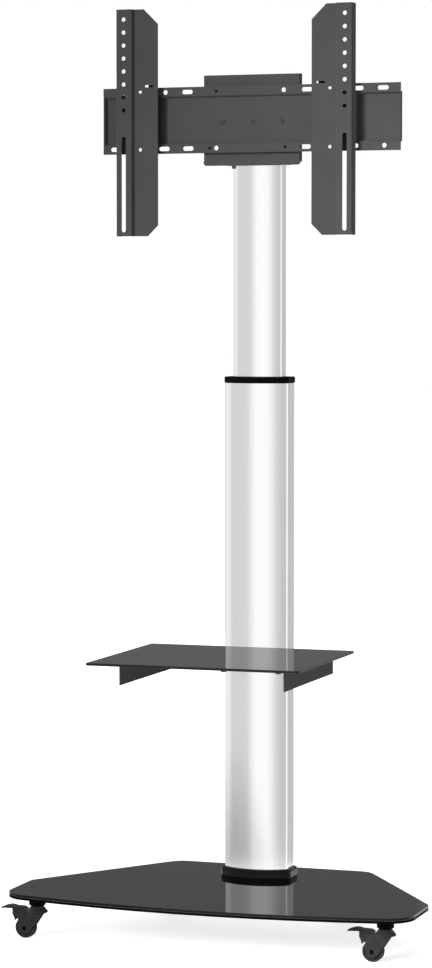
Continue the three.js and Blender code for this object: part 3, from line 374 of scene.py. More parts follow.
def slot_cutter(x, z, reach, width, front, back, upright=False):
    """Round-ended cutter of that whole length through a sheet that faces the viewer."""
    across, along = flat(0, 1) * width / 2, flat(1, 0) * (reach - width) / 2
    if upright:
        across, along = across.yx, along.yx
    centre, turn = flat(x, z), math.pi if upright else -math.pi
    return prism("slot", [
        ("to", centre + along + across), ("round", centre + along, turn),
        ("to", centre - along - across), ("round", centre - along, turn),
    ], front - 4, back + 4, "Y", 15)


def apply_modifier(piece, kind, **values):
    activate(piece)
    modifier = piece.modifiers.new(kind, kind)
    for key, value in values.items():
        setattr(modifier, key, value)
    bpy.ops.object.modifier_apply(modifier=modifier.name)
    return piece


def combine(piece, others, operation):
    for other in others:
        apply_modifier(piece, "BOOLEAN", operation=operation, object=other, solver="EXACT")
        bpy.data.objects.remove(other)
    return piece


def unite(piece, *others):
    return combine(piece, others, "UNION")


def join(name, *pieces):
    """Makes one object of pieces that are fixed together."""
    deselect()
    for piece in pieces:
        piece.select_set(True)
    bpy.context.view_layer.objects.active = pieces[0]
    if len(pieces) > 1:
        bpy.ops.object.join()
    pieces[0].name = name
    return pieces[0]


def cut(piece, *others):
    """Cuts the others, which lie apart from each other, out of a piece."""
    return combine(piece, [join("cutter", *others)], "DIFFERENCE")


def soften(piece, width, segments=2, angle=32):
    """Rounds every sharp edge and shades the rest smooth."""
    if width > 0:
        apply_modifier(
            piece, "BEVEL", width=width, segments=segments, limit_method="ANGLE",
            angle_limit=math.radians(angle), use_clamp_overlap=True, miter_outer="MITER_ARC",
        )
    activate(piece)
    bpy.ops.object.shade_smooth_by_angle(angle=math.radians(40), keep_sharp_edges=False)
    return apply_modifier(piece, "WEIGHTED_NORMAL", keep_sharp=True, weight=60)


def soften_sheet(piece):
    return soften(piece, mm(settings("tv_sheet").edge))


def folds():
    """Outer and inner radius of a fold in the sheet."""
    fold = mm(settings("tv_sheet").fold)
    return fold, max(fold - SHEET, 0.4)


def place(piece, name, body, slot, *nodes):
    """Sets a finished piece in the frame, in metres, and gives it its finish and body."""
    activate(piece)
    piece.scale = (MM, MM, MM)
    bpy.ops.object.transform_apply(location=True, rotation=True, scale=True)
    piece.name = name
    piece.data.name = name
    piece.data.materials.clear()
    piece.data.materials.append(FINISHES[slot])
    piece.visible_glossy = name in MIRRORED
    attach(piece, body)
    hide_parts(*nodes)


def twin(piece, by):
    """Copy with its own mesh, moved by a distance in millimetres."""
    activate(piece)
    bpy.ops.object.duplicate(linked=False)
    return shift(bpy.context.object, by)


# Finishes


class Finish:
    """Node material that varies by place on the piece."""

    def __init__(self, name, colour, roughness, metallic=0.0, **sockets):
        self.material = bpy.data.materials.new(name)
        self.material.use_nodes = True
        self.tree = self.material.node_tree
        self.shader = self.tree.nodes["Principled BSDF"]
        self.shader.inputs["Base Color"].default_value = (*colour, 1)
        self.shader.inputs["Roughness"].default_value = roughness
        self.shader.inputs["Metallic"].default_value = metallic
        for key, value in sockets.items():
            self.shader.inputs[key.replace("_", " ")].default_value = value
        self.places = self.add("ShaderNodeTexCoord")

    def add(self, kind, **values):
        node = self.tree.nodes.new(kind)
        for key, value in values.items():
            if hasattr(node, key):
                setattr(node, key, value)
            else:
                node.inputs[key.replace("_", " ")].default_value = value
        return node

    def link(self, output, target):
        self.tree.links.new(output, target)

    def show(self, output):
        """Makes an output the surface of the material."""
        self.link(output, self.tree.nodes["Material Output"].inputs["Surface"])

    def grain(self, size, detail=2.0, stretch=(1, 1, 1), turn=0):
        """Noise with spots of about that size in millimetres, drawn out along the stretch."""
        mapping = self.add("ShaderNodeMapping")
        mapping.inputs["Scale"].default_value = [1 / (size * MM * s) for s in stretch]
        mapping.inputs["Rotation"].default_value = (0, 0, turn)
        self.link(self.places.outputs["Object"], mapping.inputs["Vector"])
        noise = self.add("ShaderNodeTexNoise", Scale=1.0, Detail=detail, Roughness=0.55)
        self.link(mapping.outputs["Vector"], noise.inputs["Vector"])
        return noise.outputs["Fac"]

    def stretched(self, source, start, end, low, high):
        """The source's stretch from start to end, made to run from low to high."""
        node = self.add("ShaderNodeMapRange", From_Min=start, From_Max=end, To_Min=low, To_Max=high)
        self.link(source, node.inputs["Value"])
        return node.outputs["Result"]

    def tint(self, source, dark, light):
        ramp = self.add("ShaderNodeValToRGB")
        for stop, position, tone in zip(ramp.color_ramp.elements, (0.3, 0.7), (dark, light)):
            stop.position = position
            stop.color = (*tone, 1)
        self.link(source, ramp.inputs["Fac"])
        self.link(ramp.outputs["Color"], self.shader.inputs["Base Color"])

    def gloss(self, source, low, high):
        self.link(self.stretched(source, 0.3, 0.7, low, high), self.shader.inputs["Roughness"])

    def relief(self, source, height, strength):
        """Bump of that height in millimetres."""
        bump = self.add("ShaderNodeBump", Strength=strength, Distance=height * MM)
        self.link(source, bump.inputs["Height"])
        self.link(bump.outputs["Normal"], self.shader.inputs["Normal"])

    def absorb(self, share):
        """Lets that share of the light die in the surface, so its mirror image is dimmer."""
        black = self.add("ShaderNodeBsdfDiffuse", Color=(0, 0, 0, 1))
        mix = self.add("ShaderNodeMixShader", Fac=share)
        self.link(self.shader.outputs[0], mix.inputs[1])
        self.link(black.outputs[0], mix.inputs[2])
        self.show(mix.outputs[0])


def shade(colour, amount):
    return tuple(max(0.0, min(1.0, channel * amount)) for channel in colour)


FINISHES = {}


def finish_of(slot, name, colour, roughness, tint, gloss, relief, metallic=0.0, **sockets):
    """Fills a slot with a finish whose tone, gloss and relief follow a grain each."""
    finish = Finish(name, colour, roughness, metallic, **sockets)
    (tone, dark, light), (shine, low, high), (skin, height, strength) = tint, gloss, relief
    # A grain that is given more than once is one noise in the material
    noises = {grain: finish.grain(*grain) for grain in dict.fromkeys((tone, shine, skin))}
    finish.tint(noises[tone], shade(colour, dark), shade(colour, light))
    finish.gloss(noises[shine], low, high)
    finish.relief(noises[skin], height, strength)
    FINISHES[slot] = finish.material
    return finish


def make_finishes():
    look = settings("tv_finish")
    rough = look.paint_roughness
    # Satin powder paint: fine orange peel with a faint cloud in its tone
    finish_of(
        "black_paint", "powder_paint", look.paint, rough, ((90, 3), 0.94, 1.06),
        ((3.5,), rough - 0.05, rough + 0.06), ((0.9,), 0.05, 0.35), Specular_IOR_Level=0.08,
    )
    # Anodised aluminium with fine drawn lines along its length
    rough, lines = look.aluminium_roughness, (0.5, 4, (1, 1, 260))
    finish_of(
        "anodised", "anodised_aluminium", look.aluminium, rough, (lines, 0.97, 1.03),
        (lines, rough - 0.03, rough + 0.04), (lines, 0.012, 0.3), 1.0,
    )
    # Black toughened glass with a faint film of dust and wiping marks
    film = (70, 5, (1, 0.5, 1), 0.5)
    finish_of(
        "black_glass", "black_glass", look.glass, 0.03, (film, 1, 1.7), (film, 0.015, 0.06),
        ((220, 1), 0.04, 0.25), IOR=1.42,
    ).absorb(0.27)
    # Polished black plastic with a slight ripple
    finish_of(
        "gloss_black", "gloss_plastic", look.gloss, 0.12, ((30,), 0.8, 1.4), ((12, 4), 0.09, 0.2),
        ((25,), 0.05, 0.3), IOR=1.2,
    )
    # Spark-eroded black plastic
    finish_of(
        "matte_black", "matte_plastic", look.matte, 0.55, ((18,), 0.85, 1.25), ((4,), 0.48, 0.62),
        ((0.45, 3), 0.04, 0.5), Specular_IOR_Level=0.03,
    )
    # Moulded dark grey plastic with a fine leather grain
    finish_of(
        "caster_black", "caster_plastic", look.caster, 0.42, ((14, 4), 0.88, 1.14),
        ((2.5,), 0.36, 0.5), ((0.6, 3), 0.05, 0.4), Specular_IOR_Level=0.1,
    )
    # Dull rubber, a little dusty in its grain
    finish_of(
        "tyre", "tread_rubber", look.rubber, 0.8, ((5, 5), 0.8, 1.6), ((1.5,), 0.7, 0.9),
        ((0.8, 4), 0.08, 0.5), Specular_IOR_Level=0.1,
    )
    # Blackened steel with turning marks
    marks = (0.35, 3, (1, 6, 1))
    finish_of(
        "dark_steel", "dark_steel", look.steel, 0.36, ((4, 3), 0.8, 1.25), (marks, 0.3, 0.44),
        (marks, 0.015, 0.4), 0.9,
    )
    # Painted casting with the coarse skin of its mould
    finish_of(
        "cast_foot", "painted_casting", look.casting, 0.55, ((25, 4), 0.9, 1.12),
        ((3,), 0.48, 0.62), ((1.6, 4), 0.12, 0.45), Specular_IOR_Level=0.15,
    )


def dress_node(node, slot):
    """Gives a frame node that stays in view its finish."""
    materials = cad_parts[node].data.materials
    materials.clear()
    materials.append(FINISHES[slot])


# Base and column


def barrel(tube, bow, corner, offset):
    """Moves of a column tube's section about the column's axis, moved out by an offset."""
    size = tube[1] - tube[0]
    half = size.x / 2
    bow_radius = (half ** 2 + bow ** 2) / (2 * bow)
    bow_y = size.y / 2 - bow_radius
    corner = max(corner + offset, 0.4)
    corner_x = half + offset - corner
    corner_y = bow_y + math.sqrt((bow_radius + offset - corner) ** 2 - corner_x ** 2)
    turn = math.atan2(corner_y - bow_y, corner_x)
    moves = [("to", flat(half + offset, COLUMN_Y - corner_y))]
    for side in (1, -1):
        moves += [
            ("to", flat(side * (half + offset), COLUMN_Y + side * corner_y)),
            ("round", flat(side * corner_x, COLUMN_Y + side * corner_y), turn),
            ("round", flat(0, COLUMN_Y + side * bow_y), math.pi - 2 * turn),
            ("round", flat(-side * corner_x, COLUMN_Y + side * corner_y), turn),
        ]
    return moves


def lower_section(offset=0):
    column = settings("tv_column")
    return barrel(LOWER_TUBE, mm(column.lower_bow), mm(column.lower_corner), offset)


def upper_section(offset=0):
    column = settings("tv_column")
    return barrel(UPPER_TUBE, mm(column.upper_bow), mm(column.upper_corner), offset)


def lock_height():
    """Height of the lock's axis, in millimetres."""
    low, high = span("lock_knob")
    return (low.z + high.z) / 2


class TVSTAND_OT_base(bpy.types.Operator):
    """Models the glass and steel panels of the base"""

    bl_idname = "tvstand.base"
    bl_label = "Base panels"

    front_radius = 1705
    front_corner = 55
    side_corner = 30
    back_corner = 40
    back_width = 400
    shoulder_setback = 52
    window_gap = 4.3
    stem_hole = 5.3

    def execute(self, context):
        low, high = span("base_glass")
        glass = prism("base_glass", self.outline(), low.z, high.z, step=3)
        cut(glass, bore(lower_section(self.window_gap), low, high, 10))
        soften(glass, mm(settings("tv_glass").polish))
        place(glass, "base_glass_panel", "base", "black_glass", "base_glass")
        low, high = span("base_plate")
        plate = prism("base_plate", self.outline(), low.z, high.z, step=3)
        cut(plate, *[
            upright_rod("stem_hole", self.stem_hole, x, y, low.z - PAST, high.z + PAST)
            for x, y in caster_axes()
        ])
        soften_sheet(plate)
        place(plate, "base_steel_panel", "base", "matte_black", "base_plate")
        return {"FINISHED"}

    def outline(self):
        """Bowed front running into round corners, straight sides and cut back corners."""
        low, high = span("base_glass")
        half = (high.x - low.x) / 2
        shoulder = (low.y + high.y) / 2 - self.shoulder_setback
        front_centre = low.y + self.front_radius
        corner_x = half - self.front_corner
        reach = self.front_radius - self.front_corner
        corner_y = front_centre - math.sqrt(reach ** 2 - corner_x ** 2)
        turn = math.atan2(front_centre - corner_y, corner_x)
        bow = self.front_radius * flat(math.cos(turn), -math.sin(turn))
        return [
            ("to", flat(-bow.x, front_centre + bow.y)),
            ("round", flat(0, front_centre), math.pi - 2 * turn),
            ("round", flat(corner_x, corner_y), turn),
            *rounded([
                (half, corner_y),
                (half, shoulder, self.side_corner),
                (self.back_width / 2, high.y, self.back_corner),
                (-self.back_width / 2, high.y, self.back_corner),
                (-half, shoulder, self.side_corner),
                (-half, corner_y),
            ]),
            ("round", flat(-corner_x, corner_y), turn),
        ]


class TVSTAND_OT_column(bpy.types.Operator):
    """Models the two column tubes with the skirt, collar and cap at their ends"""

    bl_idname = "tvstand.column"
    bl_label = "Column"

    tube_edge = 0.3
    lock_hole = 7.3

    def execute(self, context):
        column = settings("tv_column")
        lower = self.tube("lower_tube", lower_section, mm(column.lower_wall))
        height = lock_height()
        cut(lower, level_rod("lock_hole", self.lock_hole, 0, height, COLUMN_Y, COLUMN_Y + 60))
        upper = self.tube("upper_tube", upper_section, mm(column.upper_wall))
        for tube, level, body in ((lower, "lower", "base"), (upper, "upper", "mast")):
            soften(tube, self.tube_edge)
            place(tube, f"{level}_column_tube", body, "anodised", f"{level}_tube")
        self.collar(mm(column.collar_round))
        self.skirt(mm(column.skirt_round))
        self.cap()
        return {"FINISHED"}

    def tube(self, node, section, wall):
        low, high = span(node)
        body = prism(node, section(), low.z, high.z, step=4)
        return cut(body, bore(section(-wall), low, high))

    def collar(self, rounding):
        low, high = span("column_collar")
        bottom = LOWER_TUBE[1].z + 0.3
        rim = prism("rim", lower_section(1.8), bottom, high.z, step=4)
        soften(rim, rounding, 4)
        unite(rim, prism("spigot", lower_section(-3.3), low.z, bottom + 3, step=4))
        cut(rim, bore(upper_section(0.5), low, high))
        soften(rim, 0.25, 1)
        place(rim, "column_collar_ring", "base", "matte_black", "column_collar")

    def skirt(self, rounding):
        low, high = span("foot_skirt")
        ring = prism("skirt", lower_section(7.5), low.z, high.z, step=4)
        edit(ring)
        bpy.ops.mesh.select_all(action="DESELECT")
        leave(ring)
        for face in ring.data.polygons:
            face.select = face.normal.z > 0.9
        bpy.ops.object.mode_set(mode="EDIT")
        bpy.ops.mesh.bevel(offset=rounding, segments=5, affect="EDGES")
        leave(ring)
        cut(ring, bore(lower_section(0.3), low, high))
        soften(ring, 0.2, 1)
        place(ring, "foot_skirt_ring", "base", "gloss_black", "foot_skirt")

    def cap(self):
        low, high = span("mast_cap")
        lid_low = UPPER_TUBE[1].z + 0.3
        lid = soften(prism("lid", upper_section(), lid_low, high.z, step=4), 1.2, 3)
        plug = prism("plug", upper_section(-3.1), low.z, lid_low + 1, step=4)
        cut(plug, prism("hollow", upper_section(-7.1), low.z - PAST, lid_low - 0.5, step=4))
        unite(lid, plug)
        soften(lid, 0.2, 1)
        place(lid, "mast_cap_plug", "mast", "matte_black", "mast_cap")


# Height lock


class TVSTAND_OT_lock(bpy.types.Operator):
    """Models the star knob and bush of the height lock, and gives the frame's shoe its finish"""

    bl_idname = "tvstand.lock"
    bl_label = "Height lock"

    grip_depth = 17
    lobes = 5

    def execute(self, context):
        height = lock_height()
        self.knob(height)
        self.bush(height)
        dress_node("lock_shoe", "matte_black")
        return {"FINISHED"}

    def knob(self, height):
        """Lobed grip with a dish, hub, stud and inset nut."""
        low, high = span("lock_knob")
        back, front = high.y, high.y - self.grip_depth
        grip = prism("star", self.star(height), front, back, "Y", 12)
        hub = soften(level_rod("hub", 10, 0, height, front - 3, front + 1), 0.6)
        stud = level_rod("stud", 4, 0, height, low.y, front)
        cut(grip, level_rod("dish", 11, 0, height, back - 2.5, back + PAST, 48))
        soften(grip, mm(settings("tv_caster").knob_round), 3, 28)
        nut = soften(level_rod("nut", 6, 0, height, back - 6, back - 0.8, 6), 0.5)
        knob = join("knob", grip, hub, stud, nut)
        place(knob, "lock_star_knob", "knob", "matte_black", "lock_knob")

    def star(self, height):
        """Each corner of a regular figure is rounded out, each side hollowed between."""
        tips = []
        for i in range(self.lobes):
            tip = 2 * math.pi * i / self.lobes
            gap = tip + math.pi / self.lobes
            tips.append((23.5 * math.sin(tip), height + 23.5 * math.cos(tip), 6.5))
            tips.append((15.5 * math.sin(gap), height + 15.5 * math.cos(gap), 9))
        return rounded(tips)

    def bush(self, height):
        """Flange that fits the tube's back, with a threaded sleeve through the wall."""
        low, high = span("lock_bush")
        bush = level_rod("flange", 13, 0, height, COLUMN_Y, high.y, 48)
        cut(bush, prism("tube", lower_section(0.3), height - 26, height + 26, step=4))
        unite(bush, level_rod("sleeve", 7, 0, height, low.y, high.y - 0.3))
        cut(bush, level_rod("bore", 4.3, 0, height, low.y - PAST, high.y + PAST))
        soften(bush, 0.6)
        place(bush, "lock_threaded_bush", "base", "dark_steel", "lock_bush")


# Head


class TVSTAND_OT_head(bpy.types.Operator):
    """Models the socket, plate, rail and bolts of the mounting head"""

    bl_idname = "tvstand.head"
    bl_label = "Mounting head"

    bolt_places = (("left", -59.6), ("middle", 0), ("right", 59.6))
    bolt_lift = 60.5
    rail_flange = 19
    slot_size = (22, 8.6)
    # Places of slots, and places and radii of round holes, as shares of half the rail
    top_slots = (-0.875, -0.74, -0.423, 0.383, 0.54, 0.72, 0.885)
    top_rounds = ((-0.573, 4.6), (0.227, 4.6), (-0.227, 3))
    bottom_slots = (-0.913, -0.74, -0.58, -0.417, 0.372, 0.54, 0.687)
    bottom_rounds = ((-0.227, 4.6), (0.893, 4.6), (-0.27, 3), (0.236, 3))
    plate_sheet = 3
    sight_hole = 6

    def execute(self, context):
        self.rail()
        self.plate()
        self.socket()
        self.bolts()
        return {"FINISHED"}

    def rail(self):
        """Rail pressed in along its middle, with a wall across each end."""
        fold, inside = folds()
        low, high = span("rail")
        front, back = low.y, high.y
        panel, lip = back - SHEET, front + SHEET
        step_high, step_low = high.z - self.rail_flange, low.z + self.rail_flange
        body = prism("rail", rounded([
            (front, high.z, 0.8), (front, step_high, fold),
            (panel, step_high, inside + 0.6), (panel, step_low, inside + 0.6),
            (front, step_low, fold), (front, low.z, 0.8),
            (lip, low.z, 0.8), (lip, step_low - SHEET, inside),
            (back, step_low - SHEET, fold), (back, step_high + SHEET, fold),
            (lip, step_high + SHEET, inside), (lip, high.z, 0.8),
        ]), low.x, high.x, "X", 22)
        for wall in ((low.x, low.x + SHEET), (high.x - SHEET, high.x)):
            unite(body, box(
                "end", (wall[0], front + 0.6, step_low - 1), (wall[1], panel + 1, step_high + 1)
            ))
        cutters = []
        half = (high.x - low.x) / 2
        for slots, rounds, z in (
            (self.top_slots, self.top_rounds, high.z - self.rail_flange / 2),
            (self.bottom_slots, self.bottom_rounds, low.z + self.rail_flange / 2),
        ):
            cutters += [slot_cutter(x * half, z, *self.slot_size, front, lip) for x in slots]
            cutters += [hole_cutter(x * half, z, radius, front, lip) for x, radius in rounds]
        for _, x in self.bolt_places:
            cutters.append(hole_cutter(x, low.z + self.bolt_lift, BOLT_HOLE, panel, back))
        cut(body, *cutters)
        soften_sheet(body)
        place(body, "mounting_rail", "mast", "black_paint", "rail")

    def plate(self):
        """Plate with a flange folded back at each side and at its foot."""
        corner = 6
        low, high = span("head_plate")
        front, back, flange = low.y, low.y + self.plate_sheet, low.y + self.plate_sheet + 10
        left, right = low.x + self.plate_sheet, high.x - self.plate_sheet
        body = prism("plate", rounded([
            (low.x, front, 3.6), (high.x, front, 3.6), (high.x, flange, 0.8), (right, flange, 0.8),
            (right, back, 0.6), (left, back, 0.6), (left, flange, 0.8), (low.x, flange, 0.8),
        ]), low.z + corner, high.z, step=15)
        apron = prism("apron", rounded([
            (low.x, low.z, corner), (high.x, low.z, corner),
            (high.x, low.z + corner + 2), (low.x, low.z + corner + 2),
        ]), front, back, "Y")
        foot = box("foot", (-55, front + 0.2, low.z), (55, back + 13.9, low.z + self.plate_sheet))
        unite(body, apron, foot)
        rail_low, rail_high = span("rail")
        screw = middle("socket_screw")
        cut(
            body,
            hole_cutter(63, rail_high.z - 9.5, self.sight_hole, front, back),
            hole_cutter(-71.5, rail_low.z + 9.5, self.sight_hole, front, back),
            *[hole_cutter(x, rail_low.z + self.bolt_lift, BOLT_HOLE, front, back)
              for _, x in self.bolt_places],
            upright_rod("screw_hole", SCREW_HOLE, screw.x, screw.y, low.z - PAST, low.z + 8),
        )
        soften_sheet(body)
        place(body, "head_folded_plate", "mast", "black_paint", "head_plate")

    def socket(self):
        """Sleeve with two bands round it and a bolting flange in front."""
        low, high = span("head_socket")
        ear_low, ear_high = high.z - 70, high.z - 10
        body = prism("sleeve", rounded([
            (-56, low.y, 2), (56, low.y, 2), (56, high.y, 12), (-56, high.y, 12),
        ]), low.z, high.z)
        unite(body, prism("ears", rounded([
            (low.x, ear_low, 8), (high.x, ear_low, 8), (high.x, ear_high, 8), (low.x, ear_high, 8),
        ]), low.y, low.y + 13.9, "Y"))
        for z in (low.z + 22, high.z - 22):
            unite(body, prism("band", rounded([
                (-57, high.y - 40, 2), (57, high.y - 40, 2),
                (57, high.y + 0.8, 13), (-57, high.y + 0.8, 13),
            ]), z - 4, z + 4))
        cut(body, bore(upper_section(0.3), low, high))
        bolt_z = span("rail")[0].z + self.bolt_lift
        cut(body, *[
            level_rod("bolt_hole", BOLT_HOLE, x, bolt_z, low.y - PAST, low.y + 15, 24)
            for _, x in self.bolt_places
        ])
        soften(body, 1.2, 3)
        place(body, "head_cast_socket", "mast", "cast_foot", "head_socket")

    def bolts(self):
        """Three domed bolts with a hexagon socket, and the screw under the head."""
        low, high = span("rail_bolt_middle")
        head = turned("dome", [(0, 0), (3.2, 0, 1.5), (6, 2.4, 2.2), (6, 5, 0.3), (0, 5)], "Y")
        cut(head, level_rod("hexagon", 2.3, 0, 0, -1, 3.2, 6))
        soften(head, 0.15, 1)
        bolt = join("bolt", head, level_rod("shank", 3, 0, 0, 4.9, high.y - low.y, 24))
        for name, x in self.bolt_places:
            copy = twin(bolt, (x, low.y, middle("rail_bolt_middle").z))
            place(copy, f"rail_dome_bolt_{name}", "mast", "dark_steel", f"rail_bolt_{name}")
        bpy.data.objects.remove(bolt)
        screw = cap_screw("socket_screw", 4.2, 5.5)
        place(screw, "socket_clamp_screw", "mast", "dark_steel", "socket_screw")


def cap_screw(node, radius, head):
    """Upright screw with its head at the lower end and a hexagon socket in the head."""
    low, high = span(node)
    x, y, _ = middle(node)
    cap = upright_rod("cap", radius, x, y, low.z, low.z + head)
    cut(cap, upright_rod("hexagon", radius * 0.5, x, y, low.z - 2, low.z + head * 0.6, 6))
    soften(cap, 0.5)
    return join("screw", cap, upright_rod("shank", 2.5, x, y, low.z + head - 0.1, high.z, 20))


# Arms


class TVSTAND_OT_arms(bpy.types.Operator):
    """Models the two arms with their hangers and locking screws"""

    bl_idname = "tvstand.arms"
    bl_label = "Arms"

    plate_width = 50.2
    step = 8
    holes = 8
    hole_pitch = 25
    hole_inset = 15.35
    slot_size = (185.4, 9)
    rail_recess = 19.5
    hook = (9.5, 23.5)

    def execute(self, context):
        for name, side in SIDES:
            low, high = span(f"arm_{name}")
            inner = abs(high.x if side < 0 else low.x)

            def at(distance):
                """Place across the stand, from the arm's inner edge outwards."""
                return side * (inner + distance)

            self.arm(name, at)
            self.hanger(name, at)
            screw = cap_screw(f"hanger_screw_{name}", 5, 6)
            body, node = f"{name}_arm", f"hanger_screw_{name}"
            place(screw, f"arm_locking_screw_{name}", body, "dark_steel", node)
        return {"FINISHED"}

    def arm(self, name, at):
        """Plate stepped forward to a strip of holes, with a flange and tongue outside."""
        fold, inside = folds()
        low, high = span(f"arm_{name}")
        rail_low, rail_high = span("rail")
        width, bend = high.x - low.x, self.plate_width
        strip, plate, flange = low.y, low.y + self.step, low.y + 23.5
        back = plate + SHEET
        body = prism("arm", rounded([
            (at(0), plate), (at(bend), plate, inside + 0.4),
            (at(bend), strip, fold), (at(width), strip, fold),
            (at(width), flange), (at(width - SHEET), flange),
            (at(width - SHEET), strip + SHEET, inside), (at(bend + SHEET), strip + SHEET, inside),
            (at(bend + SHEET), back, fold), (at(0), back),
        ]), low.z, high.z, step=15)
        edges = sorted((at(width), at(width - SHEET)))
        unite(body, box(
            "tongue", (edges[0], flange - 8, rail_low.z + self.rail_recess),
            (edges[1], high.y, rail_high.z - self.rail_recess),
        ))
        holes_x = at(width - self.hole_inset)
        slot_z = low.z + 7.5 + self.slot_size[0] / 2
        cut(
            body,
            self.corner_cutter(at, high.z, 29, strip, back),
            self.corner_cutter(at, low.z, -21, strip, back),
            slot_cutter(holes_x, slot_z, *self.slot_size, strip, back, upright=True),
            hole_cutter(at(36.2), rail_low.z + 119.5, 3.5, strip, back),
            hole_cutter(at(36.2), rail_low.z + 7.7, 3.5, strip, back),
            slot_cutter(at(18), rail_high.z + 2.25, 18, 4.5, strip, back),
            *[hole_cutter(holes_x, high.z - 19.5 - self.hole_pitch * i, 4.25, strip, back)
              for i in range(self.holes)],
        )
        soften_sheet(body)
        place(body, f"arm_folded_{name}", f"{name}_arm", "black_paint", f"arm_{name}")

    def corner_cutter(self, at, tip, reach, front, back):
        """Cuts the inner corner off along a slope that reaches as far down as across."""
        over = math.copysign(PAST, reach)
        return prism("corner", [
            ("to", flat(at(-PAST), tip + over)),
            ("to", flat(at(abs(reach) + PAST), tip + over)),
            ("to", flat(at(-PAST), tip - reach - over)),
        ], front - 4, back + 4, "Y")

    def hanger(self, name, at):
        """Open box in the rail's recess with a hook over, behind and under the rail."""
        rail_low, rail_high = span("rail")
        front = span(f"arm_{name}")[0].y + self.step + SHEET + 0.3
        back = rail_high.y - SHEET - 0.5
        outer, hollow = sorted((at(0), at(45))), sorted((at(2.5), at(42.5)))
        hook_x = sorted(at(reach) for reach in self.hook)
        low, high = rail_low.z + self.rail_recess, rail_high.z - self.rail_recess
        body = box("body", (outer[0], front, low), (outer[1], back, high))
        cut(body, box(
            "hollow", (hollow[0], front - PAST, low + 2.5), (hollow[1], back - 2.5, high - 2.5)
        ))
        neck, hook_back = rail_low.y - 3, rail_low.y + 5.5
        top, foot = rail_high.z + 0.5, rail_low.z - 0.5
        unite(body, prism("hook", rounded([
            (neck, foot - 6.5, 1.2), (neck + 10, foot - 6.5, 1.2), (neck + 10, foot, 0.8),
            (neck + 2.5, foot, 0.3), (neck + 2.5, top, 0.3), (hook_back - 2.5, top, 0.3),
            (hook_back - 2.5, top - 9, 0.9), (hook_back, top - 9, 0.9),
            (hook_back, top + 5.5, 2.5), (neck, top + 5.5, 2.5),
        ]), *hook_x, "X"))
        x, y = sum(hook_x) / 2, rail_low.y + SHEET / 2
        cut(body, upright_rod("screw_hole", SCREW_HOLE, x, y, foot - 12, foot + 0.3, 24))
        soften(body, 0.5)
        # The hanger's black finish is painted shade: its side in the rail's recess and its hook
        # behind the arm's small slot show as black as the shade in those gaps
        place(body, f"arm_hanger_{name}", f"{name}_arm", "matte_black", f"hanger_{name}")


# Shelf


